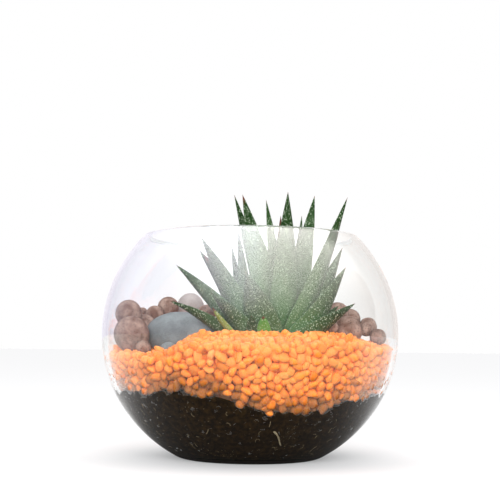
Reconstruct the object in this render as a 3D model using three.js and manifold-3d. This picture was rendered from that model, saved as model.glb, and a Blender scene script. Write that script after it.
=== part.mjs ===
// A round glass bowl planted as a small terrarium: dark soil, a layer of orange gravel,
// clay balls and river stones lying on it, and a rosette of pointed succulent leaves.
// Millimetres, +Z up, origin at the middle of the bowl's flat foot, -Y is the front.
import * as THREE from "three";
import { mergeVertices } from "three/addons/utils/BufferGeometryUtils.js";
import Module from "manifold-3d";

const wasm = await Module();
wasm.setup();

// ---------------------------------------------------------------- driving dimensions
const BOWL_RADIUS = 90;
const BOWL_HEIGHT = 135;
const BOWL_HALF_HEIGHT = 87; // vertical semi-axis of the blown ellipsoid above its widest ring
const BOWL_HALF_DEPTH = 84; // and below it
const BOWL_MIDDLE = 74.5; // height of the widest ring above the table
const WALL = 3;
const FOOT_THICKNESS = 4.5;
const FOOT_ROUNDING = 2.5;
const BOWL_SEGMENTS = 48;
const BOWL_ROWS = 9;
const ROOM_CLEARANCE = 1; // between the filling and the glass, whose flats stand inside the true curve
const GAP = 0.35; // running clearance between pieces that lie against each other

const SOIL_LEVEL = 42;
const SOIL_DIP = 10; // how much lower the soil lies at the front of the glass
const SOIL_BANK = 2.4; // how much higher it lies at the front left
const GRAVEL_LEVEL = 76;
const GRAVEL_LEFT_DROP = 12;
const GRAVEL_BACK_RISE = 7; // behind the river stone
const GRAVEL_EDGE_DROP = 7;
const LAYER_SEGMENTS = 32;

const CHIP_PITCH = 12.4; // larger than life, so that the chips cover the layer with few faces
const CHIP_HEIGHT = 3.4;

const DISH_RADIUS = 28; // the gravel lies lower round the neck of the plant
const DISH_DEPTH = 8;

const STEM = { x: 12, y: 0, radius: 7, bottom: 28, top: 76 };

// A leaf comes out of the gravel at its foot (x, y) and runs nearly straight to its tip; width is
// across its broadest part; roll turns its face, bend bows it and point blunts it. They are listed from the heart of the rosette outwards, because each
// leaf is cut clear of those before it.
const INNER_LEAVES = [
  { tip: [22.1, -12, 161], foot: [20.5, -3.5], width: 19 },
  { tip: [-5.7, 5, 161.3], foot: [18, 4.5], width: 19.5, roll: -75 },
  { tip: [40, 18, 162.8], foot: [24.3, 3], width: 17.5, roll: 45 },
  { tip: [9.2, 17, 159.8], foot: [22, 8], width: 12, roll: -45 },
  { tip: [-11, 18, 162.8], foot: [16, 8], width: 13.5, roll: -50 },
  { tip: [57.4, -22, 156.7], foot: [28.6, -9], width: 14.5, roll: -35 },
  { tip: [18, -2.5, 147.5], foot: [18.5, 1.8], width: 13 },
  { tip: [32.2, 24, 150.8], foot: [27, 9.5], width: 11, roll: 10 },
];
const MIDDLE_LEAVES = [
  { tip: [-3, -36, 110.5], foot: [9, -17], width: 24, roll: 20, bend: 0.02 },
  { tip: [-29.3, -28, 130.8], foot: [3, -10], width: 18.5, roll: 30 },
  { tip: [-28.3, -20, 121.8], foot: [-1, -7], width: 18, roll: 30, bend: 0.03 },
  { tip: [55.7, -8, 127.7], foot: [33, -3], width: 17, roll: -50 },
  { tip: [56, -24, 114.3], foot: [36, -9], width: 18, roll: -30, bend: 0.02 },
  { tip: [-31.5, -4, 126], foot: [-1, -1], width: 14, roll: 25 },
  { tip: [-21, 8, 115], foot: [-3, 4], width: 13 },
  { tip: [-8.5, 26, 142.5], foot: [-0.5, 10], width: 11.5 },
  { tip: [-12.8, 32, 132.6], foot: [-2, 13], width: 11 },
  { tip: [35, 46, 125], foot: [23, 15], width: 15 },
  { tip: [12, 54, 120], foot: [12, 17], width: 16 },
];
const OUTER_LEAVES = [
  { tip: [-44.4, -20, 115], foot: [-3, -6], width: 16.5, roll: 40, bend: 0.02 },
  { tip: [-23, -34, 98], foot: [-2, -15], width: 17.5, roll: 20, bend: 0.04 },
  { tip: [61.5, -26, 93], foot: [37, -12], width: 15.5, roll: -35, bend: 0.02 },
  { tip: [54, -4, 92.5], foot: [34, -2], width: 14, roll: -35, bend: 0.02 },
  { tip: [-47.3, -26, 93.4], foot: [-15, -11], width: 14.5, roll: 30, bend: 0.05 },
  { tip: [50, 36, 108], foot: [33, 12], width: 14 },
  { tip: [-22, 40, 113], foot: [-6, 14], width: 14 },
  { tip: [-4, 50, 106], foot: [4, 19], width: 14 },
];
const SMALL_LEAVES = [
  { tip: [7.6, -33.5, 84.8], foot: [8, -25], width: 9, point: 5 },
  { tip: [0.8, -32, 85], foot: [1.5, -23.5], width: 8.5, point: 5 },
  { tip: [-22.5, -27, 90], foot: [-12, -16], width: 7.5, point: 4 },
];
const LEAF_STATIONS = [0, 0.09, 0.22, 0.4, 0.58, 0.74, 0.88]; // shares of the length
const LEAF_THICKNESS_SHARE = 0.3; // of the width
const LEAF_TIP_THICKNESS = 1;
const LEAF_FOOT_HEIGHT = 74.5;
const LEAF_POINT = 2.1; // how suddenly a leaf comes to its point; more is blunter

// Clay balls: place seen from above and radius. They are let down one after another until they
// touch the gravel or a ball below.
const LEFT_BALLS = [
  { at: [-71.3, -10], radius: 11 },
  { at: [-62.5, -25], radius: 4.6, sink: 3 },
  { at: [-66.5, 14.5], radius: 7.4 },
  { at: [-80, 14], radius: 4.2 },
  { at: [-70.5, 33], radius: 5 },
  { at: [-61, 24], radius: 6 },
  { at: [-28, 30], radius: 6.2 },
  { at: [-53, 32.5], radius: 7 },
  { at: [-75.5, 4], radius: 8.6 },
];
const RIGHT_BALLS = [
  { at: [60, 0], radius: 9, sink: 5 },
  { at: [49.5, -7], radius: 4 },
  { at: [79, 2.6], radius: 5.4 },
  { at: [72, 7.2], radius: 4.4 },
  { at: [74.5, 17], radius: 6 },
  { at: [63.3, 20.5], radius: 6.8 },
  { at: [54.5, 10], radius: 7.1 },
  { at: [48, 47], radius: 8 },
];
const BACK_BALLS = [
  { at: [-8, 68], radius: 8.5 },
  { at: [12, 73], radius: 7 },
  { at: [31, 65], radius: 9 },
];
const BALL_SINK = 1.2; // how deep a ball settles among the chips, unless its row says more
const FLATS_SHARE = 0.955; // two faceted balls that lean on each other meet inside their radii

const STONES = [
  { name: "grey_river_stone", centre: [-41, 2, 73], half: [23.5, 15, 15], turn: -6, lean: 5 },
  { name: "pale_river_stone", centre: [-39.5, 46, 90], half: [9.8, 9, 11.8], turn: 10, lean: 0 },
  { name: "small_grey_pebble", centre: [-48, -23, 65.5], half: [4.8, 4.2, 3.8], turn: 30, lean: 0 },
];

// ---------------------------------------------------------------- helpers
function seededRandom(seed) {
  let state = seed;
  return () => {
    state = (state + 0x6d2b79f5) | 0;
    let t = Math.imul(state ^ (state >>> 15), 1 | state);
    t = (t + Math.imul(t ^ (t >>> 7), 61 | t)) ^ t;
    return ((t ^ (t >>> 14)) >>> 0) / 4294967296;
  };
}

function smooth(value, from, to) {
  const t = Math.min(1, Math.max(0, (value - from) / (to - from)));
  return t * t * (3 - 2 * t);
}

function solidOf(geometry) {
  const bare = new THREE.BufferGeometry();
  bare.setAttribute("position", geometry.getAttribute("position"));
  if (geometry.index) bare.setIndex(geometry.index);
  const merged = mergeVertices(bare, 1e-3);
  return new wasm.Manifold(
    new wasm.Mesh({
      numProp: 3,
      vertProperties: new Float32Array(merged.attributes.position.array),
      triVerts: new Uint32Array(merged.index.array),
    }),
  );
}

function geometryOf(solid) {
  const mesh = solid.getMesh();
  const geometry = new THREE.BufferGeometry();
  geometry.setAttribute("position", new THREE.BufferAttribute(mesh.vertProperties, 3));
  geometry.setIndex(new THREE.BufferAttribute(mesh.triVerts, 1));
  geometry.computeVertexNormals();
  return geometry;
}

function largestPiece(solid) {
  const pieces = solid.decompose();
  return pieces.reduce((best, piece) => (piece.volume() > best.volume() ? piece : best));
}

function namedMesh(name, solid, material) {
  const mesh = new THREE.Mesh(geometryOf(solid), material);
  mesh.name = name;
  return mesh;
}

function paint(color, roughness, extra = {}) {
  return new THREE.MeshStandardMaterial({ color, roughness, metalness: 0, ...extra });
}

// Rings of points, each ring a closed loop, joined into one closed skin with a cap at each end.
function skinOfRings(rings, firstTip, lastTip) {
  const sides = rings[0].length;
  const points = [firstTip, ...rings.flat(), lastTip];
  const last = points.length - 1;
  const at = (ring, side) => 1 + ring * sides + (side % sides);
  const faces = [];
  for (let side = 0; side < sides; side++) {
    faces.push(0, at(0, side + 1), at(0, side));
    for (let ring = 0; ring < rings.length - 1; ring++) {
      const [a, b] = [at(ring, side), at(ring, side + 1)];
      const [c, d] = [at(ring + 1, side + 1), at(ring + 1, side)];
      faces.push(a, b, c, a, c, d);
    }
    faces.push(last, at(rings.length - 1, side), at(rings.length - 1, side + 1));
  }
  const geometry = new THREE.BufferGeometry();
  geometry.setAttribute("position", new THREE.Float32BufferAttribute(points.flatMap((p) => [...p]), 3));
  geometry.setIndex(faces);
  return geometry;
}

// ---------------------------------------------------------------- the bowl
// Radius of the ellipsoid at a height, set in from the outer face by a wall or a gap.
function bowlRadius(z, inset) {
  const half = z < BOWL_MIDDLE ? BOWL_HALF_DEPTH : BOWL_HALF_HEIGHT;
  const rise = (z - BOWL_MIDDLE) / (half - inset);
  return (BOWL_RADIUS - inset) * Math.sqrt(Math.max(0, 1 - rise * rise));
}

// Heights from one level to another, spaced evenly round the curve of the bowl.
function curveLevels(from, to, rows) {
  const half = (side) => (side < 0 ? BOWL_HALF_DEPTH : BOWL_HALF_HEIGHT);
  const angle = (z) => Math.asin((z - BOWL_MIDDLE) / half(z - BOWL_MIDDLE));
  const levels = [];
  for (let i = 0; i <= rows; i++) {
    const turn = angle(from) + ((angle(to) - angle(from)) * i) / rows;
    levels.push(BOWL_MIDDLE + half(turn) * Math.sin(turn));
  }
  return levels;
}

function glassBowl() {
  const rimHalf = WALL / 2;
  const rimMiddle = BOWL_HEIGHT - rimHalf;
  const footRadius = bowlRadius(0, 0) - FOOT_ROUNDING;
  const floorRadius = bowlRadius(FOOT_THICKNESS, WALL) - 3;
  const outer = curveLevels(FOOT_ROUNDING * 0.6, rimMiddle, BOWL_ROWS);
  const inner = curveLevels(FOOT_THICKNESS + 1.2, rimMiddle, BOWL_ROWS - 1).reverse();
  const profile = [
    [0, 0],
    [footRadius, 0],
    ...outer.map((z) => [bowlRadius(z, 0), z]),
    [bowlRadius(BOWL_HEIGHT, rimHalf), BOWL_HEIGHT],
    ...inner.map((z) => [bowlRadius(z, WALL), z]),
    [floorRadius, FOOT_THICKNESS],
    [0, FOOT_THICKNESS],
  ].map(([radius, z]) => new THREE.Vector2(radius, z));
  return solidOf(new THREE.LatheGeometry(profile, BOWL_SEGMENTS).rotateX(Math.PI / 2));
}

// The room inside the glass up to a height, set in far enough to clear the flats of the glass.
function bowlRoom(top) {
  const floor = FOOT_THICKNESS + GAP;
  const inset = WALL + ROOM_CLEARANCE;
  const profile = [
    [0, floor],
    [bowlRadius(floor, inset) - 3, floor],
    ...curveLevels(floor + 1.5, top, BOWL_ROWS).map((z) => [bowlRadius(z, inset), z]),
    [0, top],
  ].map(([radius, z]) => new THREE.Vector2(radius, z));
  return solidOf(new THREE.LatheGeometry(profile, BOWL_SEGMENTS).rotateX(Math.PI / 2));
}

// ---------------------------------------------------------------- soil and gravel
function soilTop(x, y) {
  const front = 1 - smooth(y, -45, 35);
  const dip = SOIL_DIP * Math.exp(-(((x - 22) / 38) ** 2)) * front;
  const bank = SOIL_BANK * Math.exp(-(((x + 33) / 22) ** 2)) * front;
  return SOIL_LEVEL - dip + bank + 0.8 * Math.sin(x / 7) * Math.cos(y / 9);
}

function gravelTop(x, y) {
  const left = smooth(-x, 24, 54);
  const back = smooth(y, -5, 35);
  const rightEdge = smooth(x, 45, 80);
  const frontEdge = smooth(-y, 45, 88) * (1 - left);
  const neck = 1 - smooth(Math.hypot(x - STEM.x, y - STEM.y), 14, DISH_RADIUS);
  return (
    GRAVEL_LEVEL -
    GRAVEL_LEFT_DROP * left * (1 - back) +
    GRAVEL_BACK_RISE * back * smooth(-x, 0, 32) -
    GRAVEL_EDGE_DROP * Math.max(rightEdge * (1 - 0.4 * back), frontEdge) -
    DISH_DEPTH * neck
  );
}

// A layer of the filling between two uneven levels, reaching to the glass less an inset.
function layer(lowerLevel, upperLevel, inset, ringShares, sideRows) {
  const wallPoint = (turn, level) => {
    let radius = bowlRadius(BOWL_MIDDLE, inset);
    for (let i = 0; i < 8; i++) {
      const z = level(radius * Math.cos(turn), radius * Math.sin(turn));
      radius = bowlRadius(z, inset);
    }
    return [radius, level(radius * Math.cos(turn), radius * Math.sin(turn))];
  };
  const ringAt = (radiusAndHeight) =>
    Array.from({ length: LAYER_SEGMENTS }, (_, i) => {
      const turn = (2 * Math.PI * i) / LAYER_SEGMENTS;
      const [radius, z] = radiusAndHeight(turn);
      return [radius * Math.cos(turn), radius * Math.sin(turn), z];
    });
  const across = (level, share) => (turn) => {
    const radius = wallPoint(turn, level)[0] * share;
    return [radius, level(radius * Math.cos(turn), radius * Math.sin(turn))];
  };
  const rings = ringShares.map((share) => ringAt(across(lowerLevel, share)));
  for (let row = 0; row <= sideRows; row++) {
    rings.push(
      ringAt((turn) => {
        const low = wallPoint(turn, lowerLevel)[1];
        const high = wallPoint(turn, upperLevel)[1];
        const z = low + ((high - low) * row) / sideRows;
        return [bowlRadius(z, inset), z];
      }),
    );
  }
  [...ringShares].reverse().forEach((share) => rings.push(ringAt(across(upperLevel, share))));
  return solidOf(skinOfRings(rings, [0, 0, lowerLevel(0, 0)], [0, 0, upperLevel(0, 0)]));
}

function soilBed(room, stemHole) {
  const floor = () => FOOT_THICKNESS + GAP;
  return layer(floor, soilTop, WALL, [0.5, 0.96], 6).intersect(room).subtract(stemHole);
}

// A field of gravel chips in rows, each a six-sided foot that rises to a small tilted triangle.
// place(u, v, height) gives the point at a height above the field; a field that wraps closes on
// itself after the last column. Open edges are drawn in to the nearer of the given anchors.
function chipField(columns, rows, wraps, place, anchors, random) {
  const points = [];
  const faces = [];
  const foot = CHIP_PITCH / Math.sqrt(3);
  const jitter = (size) => (random() - 0.5) * size;
  const column = (i) => (wraps ? ((i % columns) + columns) % columns : i);
  const centreOf = (i, j) => [(i + (Math.abs(j) % 2) / 2) * CHIP_PITCH, j * foot * 1.5];
  const corners = new Map();
  const corner = (i, j, end) => {
    const key = [column(i), j, end].join();
    if (!corners.has(key)) {
      const [u, v] = centreOf(column(i), j);
      const spot = [u + jitter(2), v + end * foot + jitter(2), jitter(0.8)];
      corners.set(key, points.push(place(...spot)) - 1);
    }
    return corners.get(key);
  };
  for (let j = 0; j < rows; j++) {
    const shift = Math.abs(j) % 2;
    for (let i = 0; i < columns; i++) {
      const [u, v] = centreOf(i, j);
      const rim = [
        corner(i + shift, j + 1, -1),
        corner(i, j, 1),
        corner(i + shift - 1, j + 1, -1),
        corner(i + shift - 1, j - 1, 1),
        corner(i, j, -1),
        corner(i + shift, j - 1, 1),
      ];
      const offset = random() < 0.5 ? 0 : 1;
      const top = [0, 1, 2].map((m) => {
        const turn = (Math.PI / 3) * (2 * m + 1 - offset) + jitter(0.7);
        const reach = foot * (0.42 + 0.26 * random());
        const height = CHIP_HEIGHT * (0.72 + 0.42 * random());
        return points.push(place(u + reach * Math.cos(turn), v + reach * Math.sin(turn), height)) - 1;
      });
      for (let m = 0; m < 3; m++) {
        const [a, b, c] = [0, 1, 2].map((k) => rim[(2 * m + k - offset + 6) % 6]);
        faces.push([a, b, top[m]], [top[m], b, c], [top[m], c, top[(m + 1) % 3]]);
      }
      faces.push(top);
    }
  }
  const edges = new Set(faces.flatMap(([a, b, c]) => [`${a},${b}`, `${b},${c}`, `${c},${a}`]));
  const anchorIndex = anchors.map((anchor) => points.push(anchor) - 1);
  for (const edge of edges) {
    const [a, b] = edge.split(",").map(Number);
    if (edges.has(`${b},${a}`)) continue;
    const nearer = (p, q) => Math.abs(p[2] - points[a][2]) - Math.abs(q[2] - points[a][2]);
    const anchor = anchors.indexOf([...anchors].sort(nearer)[0]);
    faces.push([b, a, anchorIndex[anchor]]);
  }
  const geometry = new THREE.BufferGeometry();
  geometry.setAttribute("position", new THREE.Float32BufferAttribute(points.flat(), 3));
  geometry.setIndex(faces.flat());
  return solidOf(geometry);
}

// The side of the layer, seen through the glass: a band of chips that wraps round the bowl.
function chipBand(random) {
  const bottom = 24;
  const columns = Math.floor((2 * Math.PI * (BOWL_RADIUS - WALL)) / CHIP_PITCH);
  const rows = Math.ceil(68 / (CHIP_PITCH * 0.866));
  const clear = WALL + ROOM_CLEARANCE + CHIP_HEIGHT * 1.14;
  const place = (u, v, height) => {
    const turn = (2 * Math.PI * u) / (columns * CHIP_PITCH);
    const radius = bowlRadius(bottom + v, clear - height);
    return [radius * Math.cos(turn), radius * Math.sin(turn), bottom + v];
  };
  return chipField(columns, rows, true, place, [[0, 0, bottom], [0, 0, bottom + 80]], random);
}

// The top of the layer: a flat field of chips laid over the levels of the gravel.
function chipCover(random) {
  const columns = Math.ceil((2 * BOWL_RADIUS) / CHIP_PITCH) + 1;
  const rows = Math.ceil((2 * BOWL_RADIUS) / (CHIP_PITCH * 0.866)) + 1;
  const place = (u, v, height) => {
    const [x, y] = [u - BOWL_RADIUS, v - BOWL_RADIUS];
    return [x, y, gravelTop(x, y) - CHIP_HEIGHT + height];
  };
  return chipField(columns, rows, false, place, [[0, 0, -500]], random);
}

function gravelLayer(soilClear, clearances) {
  const random = seededRandom(11);
  const heap = chipBand(random).intersect(chipCover(random));
  return largestPiece(heap.subtract(soilClear).subtract(wasm.Manifold.union(clearances)));
}

// ---------------------------------------------------------------- stones and balls
function roundStone(centre, half, turn, lean, detail) {
  return solidOf(
    new THREE.IcosahedronGeometry(1, detail)
      .scale(...half)
      .rotateY(THREE.MathUtils.degToRad(lean))
      .rotateZ(THREE.MathUtils.degToRad(turn))
      .translate(...centre),
  );
}

// Lets a ball down at its place until it touches the gravel, a stone or a ball below it.
function restingHeight(ball, placed) {
  const [x, y] = ball.at;
  const onGravel = gravelTop(x, y) + ball.radius - (ball.sink ?? BALL_SINK);
  return placed.reduce((height, other) => {
    const apart = Math.hypot(x - other.at[0], y - other.at[1]);
    const reach = (ball.radius + other.radius) * FLATS_SHARE + GAP;
    if (apart >= reach) return height;
    return Math.max(height, other.height + Math.sqrt(reach * reach - apart * apart));
  }, onGravel);
}

function settledBalls(balls) {
  const placed = [];
  for (const ball of balls) {
    placed.push({ ...ball, height: restingHeight(ball, placed) });
  }
  return placed;
}

// ---------------------------------------------------------------- the plant
// Half width along a leaf: a little drawn in at the stem, broadest at a quarter, then curving in
// to the point.
function leafHalfWidth(share, leaf) {
  const swell = 0.72 + 0.28 * smooth(share, 0, 0.25);
  return (leaf.width / 2) * swell * (1 - share ** (leaf.point ?? LEAF_POINT));
}

// The line a leaf grows along: out from the stem to its foot, then straight or a little bowed.
function leafPath(leaf, base) {
  const tip = new THREE.Vector3(...leaf.tip);
  const foot = new THREE.Vector3(...leaf.foot, LEAF_FOOT_HEIGHT);
  const outward = new THREE.Vector3(foot.x - STEM.x, foot.y - STEM.y, 0).normalize();
  const start = new THREE.Vector3(STEM.x, STEM.y, base.height).addScaledVector(outward, base.out);
  const run = tip.clone().sub(foot);
  const across = new THREE.Vector3(-run.y, run.x, 0).normalize();
  const under = across.clone().cross(run).normalize();
  const belly = foot
    .clone()
    .addScaledVector(run, 0.4)
    .addScaledVector(under, (leaf.bend ?? 0) * run.length() * -2);
  return { path: new THREE.CubicBezierCurve3(start, foot, belly, tip), across };
}

function leafSolid({ leaf, base }, grow = 0) {
  const { path, across } = leafPath(leaf, base);
  const roll = THREE.MathUtils.degToRad(leaf.roll ?? 0);
  const thickness = leaf.width * LEAF_THICKNESS_SHARE;
  const rings = [];
  for (const share of LEAF_STATIONS) {
    const along = path.getTangentAt(share);
    const side = across.clone().applyAxisAngle(along, roll * smooth(share, 0, 0.3));
    side.addScaledVector(along, -side.dot(along)).normalize();
    const upper = along.clone().cross(side).normalize();
    const half = leafHalfWidth(share, leaf);
    const thick = LEAF_TIP_THICKNESS + (thickness - LEAF_TIP_THICKNESS) * (1 - share);
    const centre = path.getPointAt(share);
    if (share === 0) centre.addScaledVector(along, -grow);
    const section = [
      [-half - 3 * grow, 0.15 * thick + 1.25 * grow],
      [-0.55 * half - 0.6 * grow, -0.55 * thick - grow],
      [0, -0.85 * thick - grow],
      [0.55 * half + 0.6 * grow, -0.55 * thick - grow],
      [half + 3 * grow, 0.15 * thick + 1.25 * grow],
      [0, 0.02 * thick + grow],
    ];
    rings.push(
      section.map(([s, n]) => centre.clone().addScaledVector(side, s).addScaledVector(upper, n).toArray()),
    );
  }
  const start = path.getPointAt(0).addScaledVector(path.getTangentAt(0), -grow);
  const end = path.getPointAt(1).addScaledVector(path.getTangentAt(1), grow);
  return solidOf(skinOfRings(rings, start.toArray(), end.toArray()));
}

function stemSolid(grow = 0) {
  const profile = [
    [0, STEM.bottom - grow],
    [STEM.radius * 0.45 + grow, STEM.bottom - grow],
    [STEM.radius * 0.8 + grow, 48],
    [STEM.radius + grow, 60],
    [STEM.radius + grow, 68],
    [STEM.radius * 0.6 + grow, 74],
    [STEM.radius * 0.25 + grow, STEM.top + grow],
    [0, STEM.top + grow],
  ].map(([radius, z]) => new THREE.Vector2(radius, z));
  return solidOf(
    new THREE.LatheGeometry(profile, 12).rotateX(Math.PI / 2).translate(STEM.x, STEM.y, 0),
  );
}

// ---------------------------------------------------------------- assembly
const materials = {
  glass: paint(0xf1f4f6, 0.03, { transparent: true, opacity: 0.3 }),
  soil: paint(0x2a231b, 0.95),
  gravel: paint(0xf58a2c, 0.55),
  clay: paint(0x946a5a, 0.9),
  greyStone: paint(0x83868b, 0.75),
  paleStone: paint(0xb9aaa6, 0.75),
  stem: paint(0x6c7a4a, 0.8),
  leaf: paint(0x5c7f58, 0.55),
  youngLeaf: paint(0x7fb356, 0.5),
  yellowLeaf: paint(0xb7b455, 0.6),
};

const terrarium = new THREE.Group();
terrarium.add(namedMesh("glass_bowl", glassBowl(), materials.glass));

const stem = stemSolid();
const stemRoom = stemSolid(GAP);
terrarium.add(namedMesh("plant_stem", stem, materials.stem));

// Each turn of leaves leaves the stem a little lower and further out than the one inside it.
const turns = [
  { name: "inner_leaf", leaves: INNER_LEAVES, height: 71, step: 0.4, out: 3 },
  { name: "middle_leaf", leaves: MIDDLE_LEAVES, height: 68.5, step: 0.2, out: 6.5 },
  { name: "outer_leaf", leaves: OUTER_LEAVES, height: 67.5, step: 0.1, out: 9.5 },
  { name: "small_leaf", leaves: SMALL_LEAVES, height: 67, step: 0, out: 14 },
];
const leafColours = { small_leaf_1: "youngLeaf", small_leaf_3: "yellowLeaf" };
let taken = stemRoom;
for (const { name, leaves, height, step, out } of turns) {
  leaves.forEach((leaf, i) => {
    const placed = { leaf, base: { height: height - step * i, out } };
    const label = `${name}_${i + 1}`;
    const solid = largestPiece(leafSolid(placed).subtract(taken));
    terrarium.add(namedMesh(label, solid, materials[leafColours[label] ?? "leaf"]));
    taken = taken.add(leafSolid(placed, GAP));
  });
}

const clearances = [taken];
for (const stone of STONES) {
  const detail = stone.half[0] > 15 ? 2 : 1;
  const solid = roundStone(stone.centre, stone.half, stone.turn, stone.lean, detail);
  const material = stone.name.startsWith("pale") ? materials.paleStone : materials.greyStone;
  terrarium.add(namedMesh(stone.name, solid, material));
  const grown = stone.half.map((half) => half + GAP);
  clearances.push(roundStone(stone.centre, grown, stone.turn, stone.lean, detail));
}

const ballGroups = { left: LEFT_BALLS, right: RIGHT_BALLS, back: BACK_BALLS };
for (const [side, balls] of Object.entries(ballGroups)) {
  settledBalls(balls).forEach((ball, i) => {
    const centre = [...ball.at, ball.height];
    const turn = 40 * i;
    const solid = roundStone(centre, [ball.radius, ball.radius, ball.radius], turn, 0, 1);
    terrarium.add(namedMesh(`clay_ball_${side}_${i + 1}`, solid, materials.clay));
    const grown = ball.radius + GAP;
    clearances.push(roundStone(centre, [grown, grown, grown], turn, 0, 1));
  });
}

const room = bowlRoom(110);
const soil = soilBed(room, stemRoom);
const soilClear = layer(() => FOOT_THICKNESS, (x, y) => soilTop(x, y) + GAP, WALL - 1, [0.5, 0.96], 6);
terrarium.add(namedMesh("soil", largestPiece(soil), materials.soil));
terrarium.add(namedMesh("gravel_layer", gravelLayer(soilClear, clearances), materials.gravel));

export default terrarium;
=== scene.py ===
"""Dresses a round glass bowl planted as a small terrarium.

The bowl is blown clear glass. It holds dark potting soil, a layer of dyed orange gravel, fired clay
balls, river stones and the rosette of a pointed, white-dotted succulent. Every length is in
millimetres until a mesh is made, the origin is the middle of the bowl's flat foot, +Z is up and -Y
is the front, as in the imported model.
"""

import logging
import math
from collections.abc import Sequence
from dataclasses import dataclass
from enum import Enum

import bmesh
import bpy
import numpy as np
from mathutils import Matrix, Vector, noise


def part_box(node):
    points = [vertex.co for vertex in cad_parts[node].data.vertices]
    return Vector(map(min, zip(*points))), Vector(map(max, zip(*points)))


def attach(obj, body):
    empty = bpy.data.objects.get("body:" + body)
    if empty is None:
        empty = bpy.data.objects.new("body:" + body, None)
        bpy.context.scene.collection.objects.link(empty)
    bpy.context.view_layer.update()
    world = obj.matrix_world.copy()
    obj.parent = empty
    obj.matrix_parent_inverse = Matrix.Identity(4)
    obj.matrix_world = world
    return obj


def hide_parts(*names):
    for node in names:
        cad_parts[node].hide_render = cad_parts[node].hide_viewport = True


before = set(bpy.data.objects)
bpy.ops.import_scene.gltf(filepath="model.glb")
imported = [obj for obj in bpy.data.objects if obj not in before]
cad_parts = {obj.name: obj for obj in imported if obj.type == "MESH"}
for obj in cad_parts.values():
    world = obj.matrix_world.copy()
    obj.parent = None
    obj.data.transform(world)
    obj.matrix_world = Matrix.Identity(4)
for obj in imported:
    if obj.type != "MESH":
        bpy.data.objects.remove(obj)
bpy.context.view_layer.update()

logging.basicConfig(level=logging.INFO, format="%(message)s")
LOG = logging.getLogger("terrarium")

Socket = bpy.types.NodeSocket
Node = bpy.types.Node
Material = bpy.types.Material
Numbers = np.ndarray | float
Faces = list[tuple[int, ...]]
Random = np.random.Generator
Grains = tuple[np.ndarray, np.ndarray]  # middles and radii

MM = 0.001
FULL_TURN = 2 * math.pi
BODY = "root"

# The forms shared with the solids, in millimetres.
BOWL_RADIUS = 89.86
BOWL_HALF_HEIGHT = 87.0
BOWL_HALF_DEPTH = 84.0
BOWL_MIDDLE = 74.5
WALL = 3.0
FOOT_THICKNESS = 4.5
SOIL_LEVEL = 42.0
SOIL_DIP, DIP_X, DIP_REACH = 10.0, 22, 38
SOIL_BANK, BANK_X, BANK_REACH = 2.4, -33, 22
SOIL_RIPPLE, RIPPLE_X, RIPPLE_Y = 0.8, 7, 9
SOIL_FRONT = -45, 35
GRAVEL_LEVEL = 76.0
LEFT_FALL, BACK_RISE, EDGE_FALL, NECK_FALL = 12, 7, 7, 8
LEFT_REACH, RIGHT_REACH, NECK_REACH = (24, 54), (45, 80), (14, 28)
BACK_REACH, FRONT_REACH, RISE_REACH = (-5, 35), (45, 88), (0, 32)
STEM_X, STEM_Y = 12.0, 0.0
LEAF_FOOT_HEIGHT = 74.5


# ------------------------------------------------------------------ numbers and colours
def linear(hex_colour: str) -> tuple[float, float, float, float]:
    """Turns an sRGB hex colour into linear light.

    Args:
        hex_colour: Six hexadecimal digits, such as "ff9048".

    Returns:
        Red, green, blue and an alpha of 1.
    """
    channels = []
    for at in (0, 2, 4):
        value = int(hex_colour[at : at + 2], 16) / 255
        channels.append(value / 12.92 if value <= 0.04045 else ((value + 0.055) / 1.055) ** 2.4)
    return (*channels, 1.0)


def smooth(value: Numbers, low: float, high: float) -> Numbers:
    """Runs smoothly from 0 at low to 1 at high.

    Args:
        value: One number or an array.
        low: Where the result leaves 0.
        high: Where the result reaches 1.

    Returns:
        The eased share, of the same shape as value.
    """
    share = np.clip((value - low) / (high - low), 0, 1)
    return share * share * (3 - 2 * share)


def bowl_radius(z: Numbers, inset: float = 0.0) -> Numbers:
    """Radius of the blown ellipsoid at a height.

    Args:
        z: Height above the table.
        inset: How far the surface lies inside the outer face.

    Returns:
        The radius.
    """
    half = np.where(z < BOWL_MIDDLE, BOWL_HALF_DEPTH, BOWL_HALF_HEIGHT) - inset
    rise = (z - BOWL_MIDDLE) / half
    return (BOWL_RADIUS - inset) * np.sqrt(np.clip(1 - rise * rise, 0, 1))


def soil_top(x: Numbers, y: Numbers) -> Numbers:
    """Height of the soil, which dips at the front right of the glass and banks up at the left.

    Args:
        x: Places across.
        y: Places in depth.

    Returns:
        Heights.
    """
    front = 1 - smooth(y, *SOIL_FRONT)
    dip = SOIL_DIP * np.exp(-(((x - DIP_X) / DIP_REACH) ** 2)) * front
    bank = SOIL_BANK * np.exp(-(((x - BANK_X) / BANK_REACH) ** 2)) * front
    return SOIL_LEVEL - dip + bank + SOIL_RIPPLE * np.sin(x / RIPPLE_X) * np.cos(y / RIPPLE_Y)


def gravel_top(x: Numbers, y: Numbers) -> Numbers:
    """Height of the gravel, lower at the left, at the right edge and round the plant's neck.

    Args:
        x: Places across.
        y: Places in depth.

    Returns:
        Heights.
    """
    left = smooth(-x, *LEFT_REACH)
    back = smooth(y, *BACK_REACH)
    right_edge = smooth(x, *RIGHT_REACH)
    front_edge = smooth(-y, *FRONT_REACH) * (1 - left)
    neck = 1 - smooth(np.hypot(x - STEM_X, y - STEM_Y), *NECK_REACH)
    edge = np.maximum(right_edge * (1 - 0.4 * back), front_edge)
    fall = LEFT_FALL * left * (1 - back)
    rise = BACK_RISE * back * smooth(-x, *RISE_REACH)
    return GRAVEL_LEVEL - fall + rise - EDGE_FALL * edge - NECK_FALL * neck


def round_turn(sides: int) -> np.ndarray:
    """Directions spaced evenly all the way round."""
    return np.arange(sides) * FULL_TURN / sides


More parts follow.
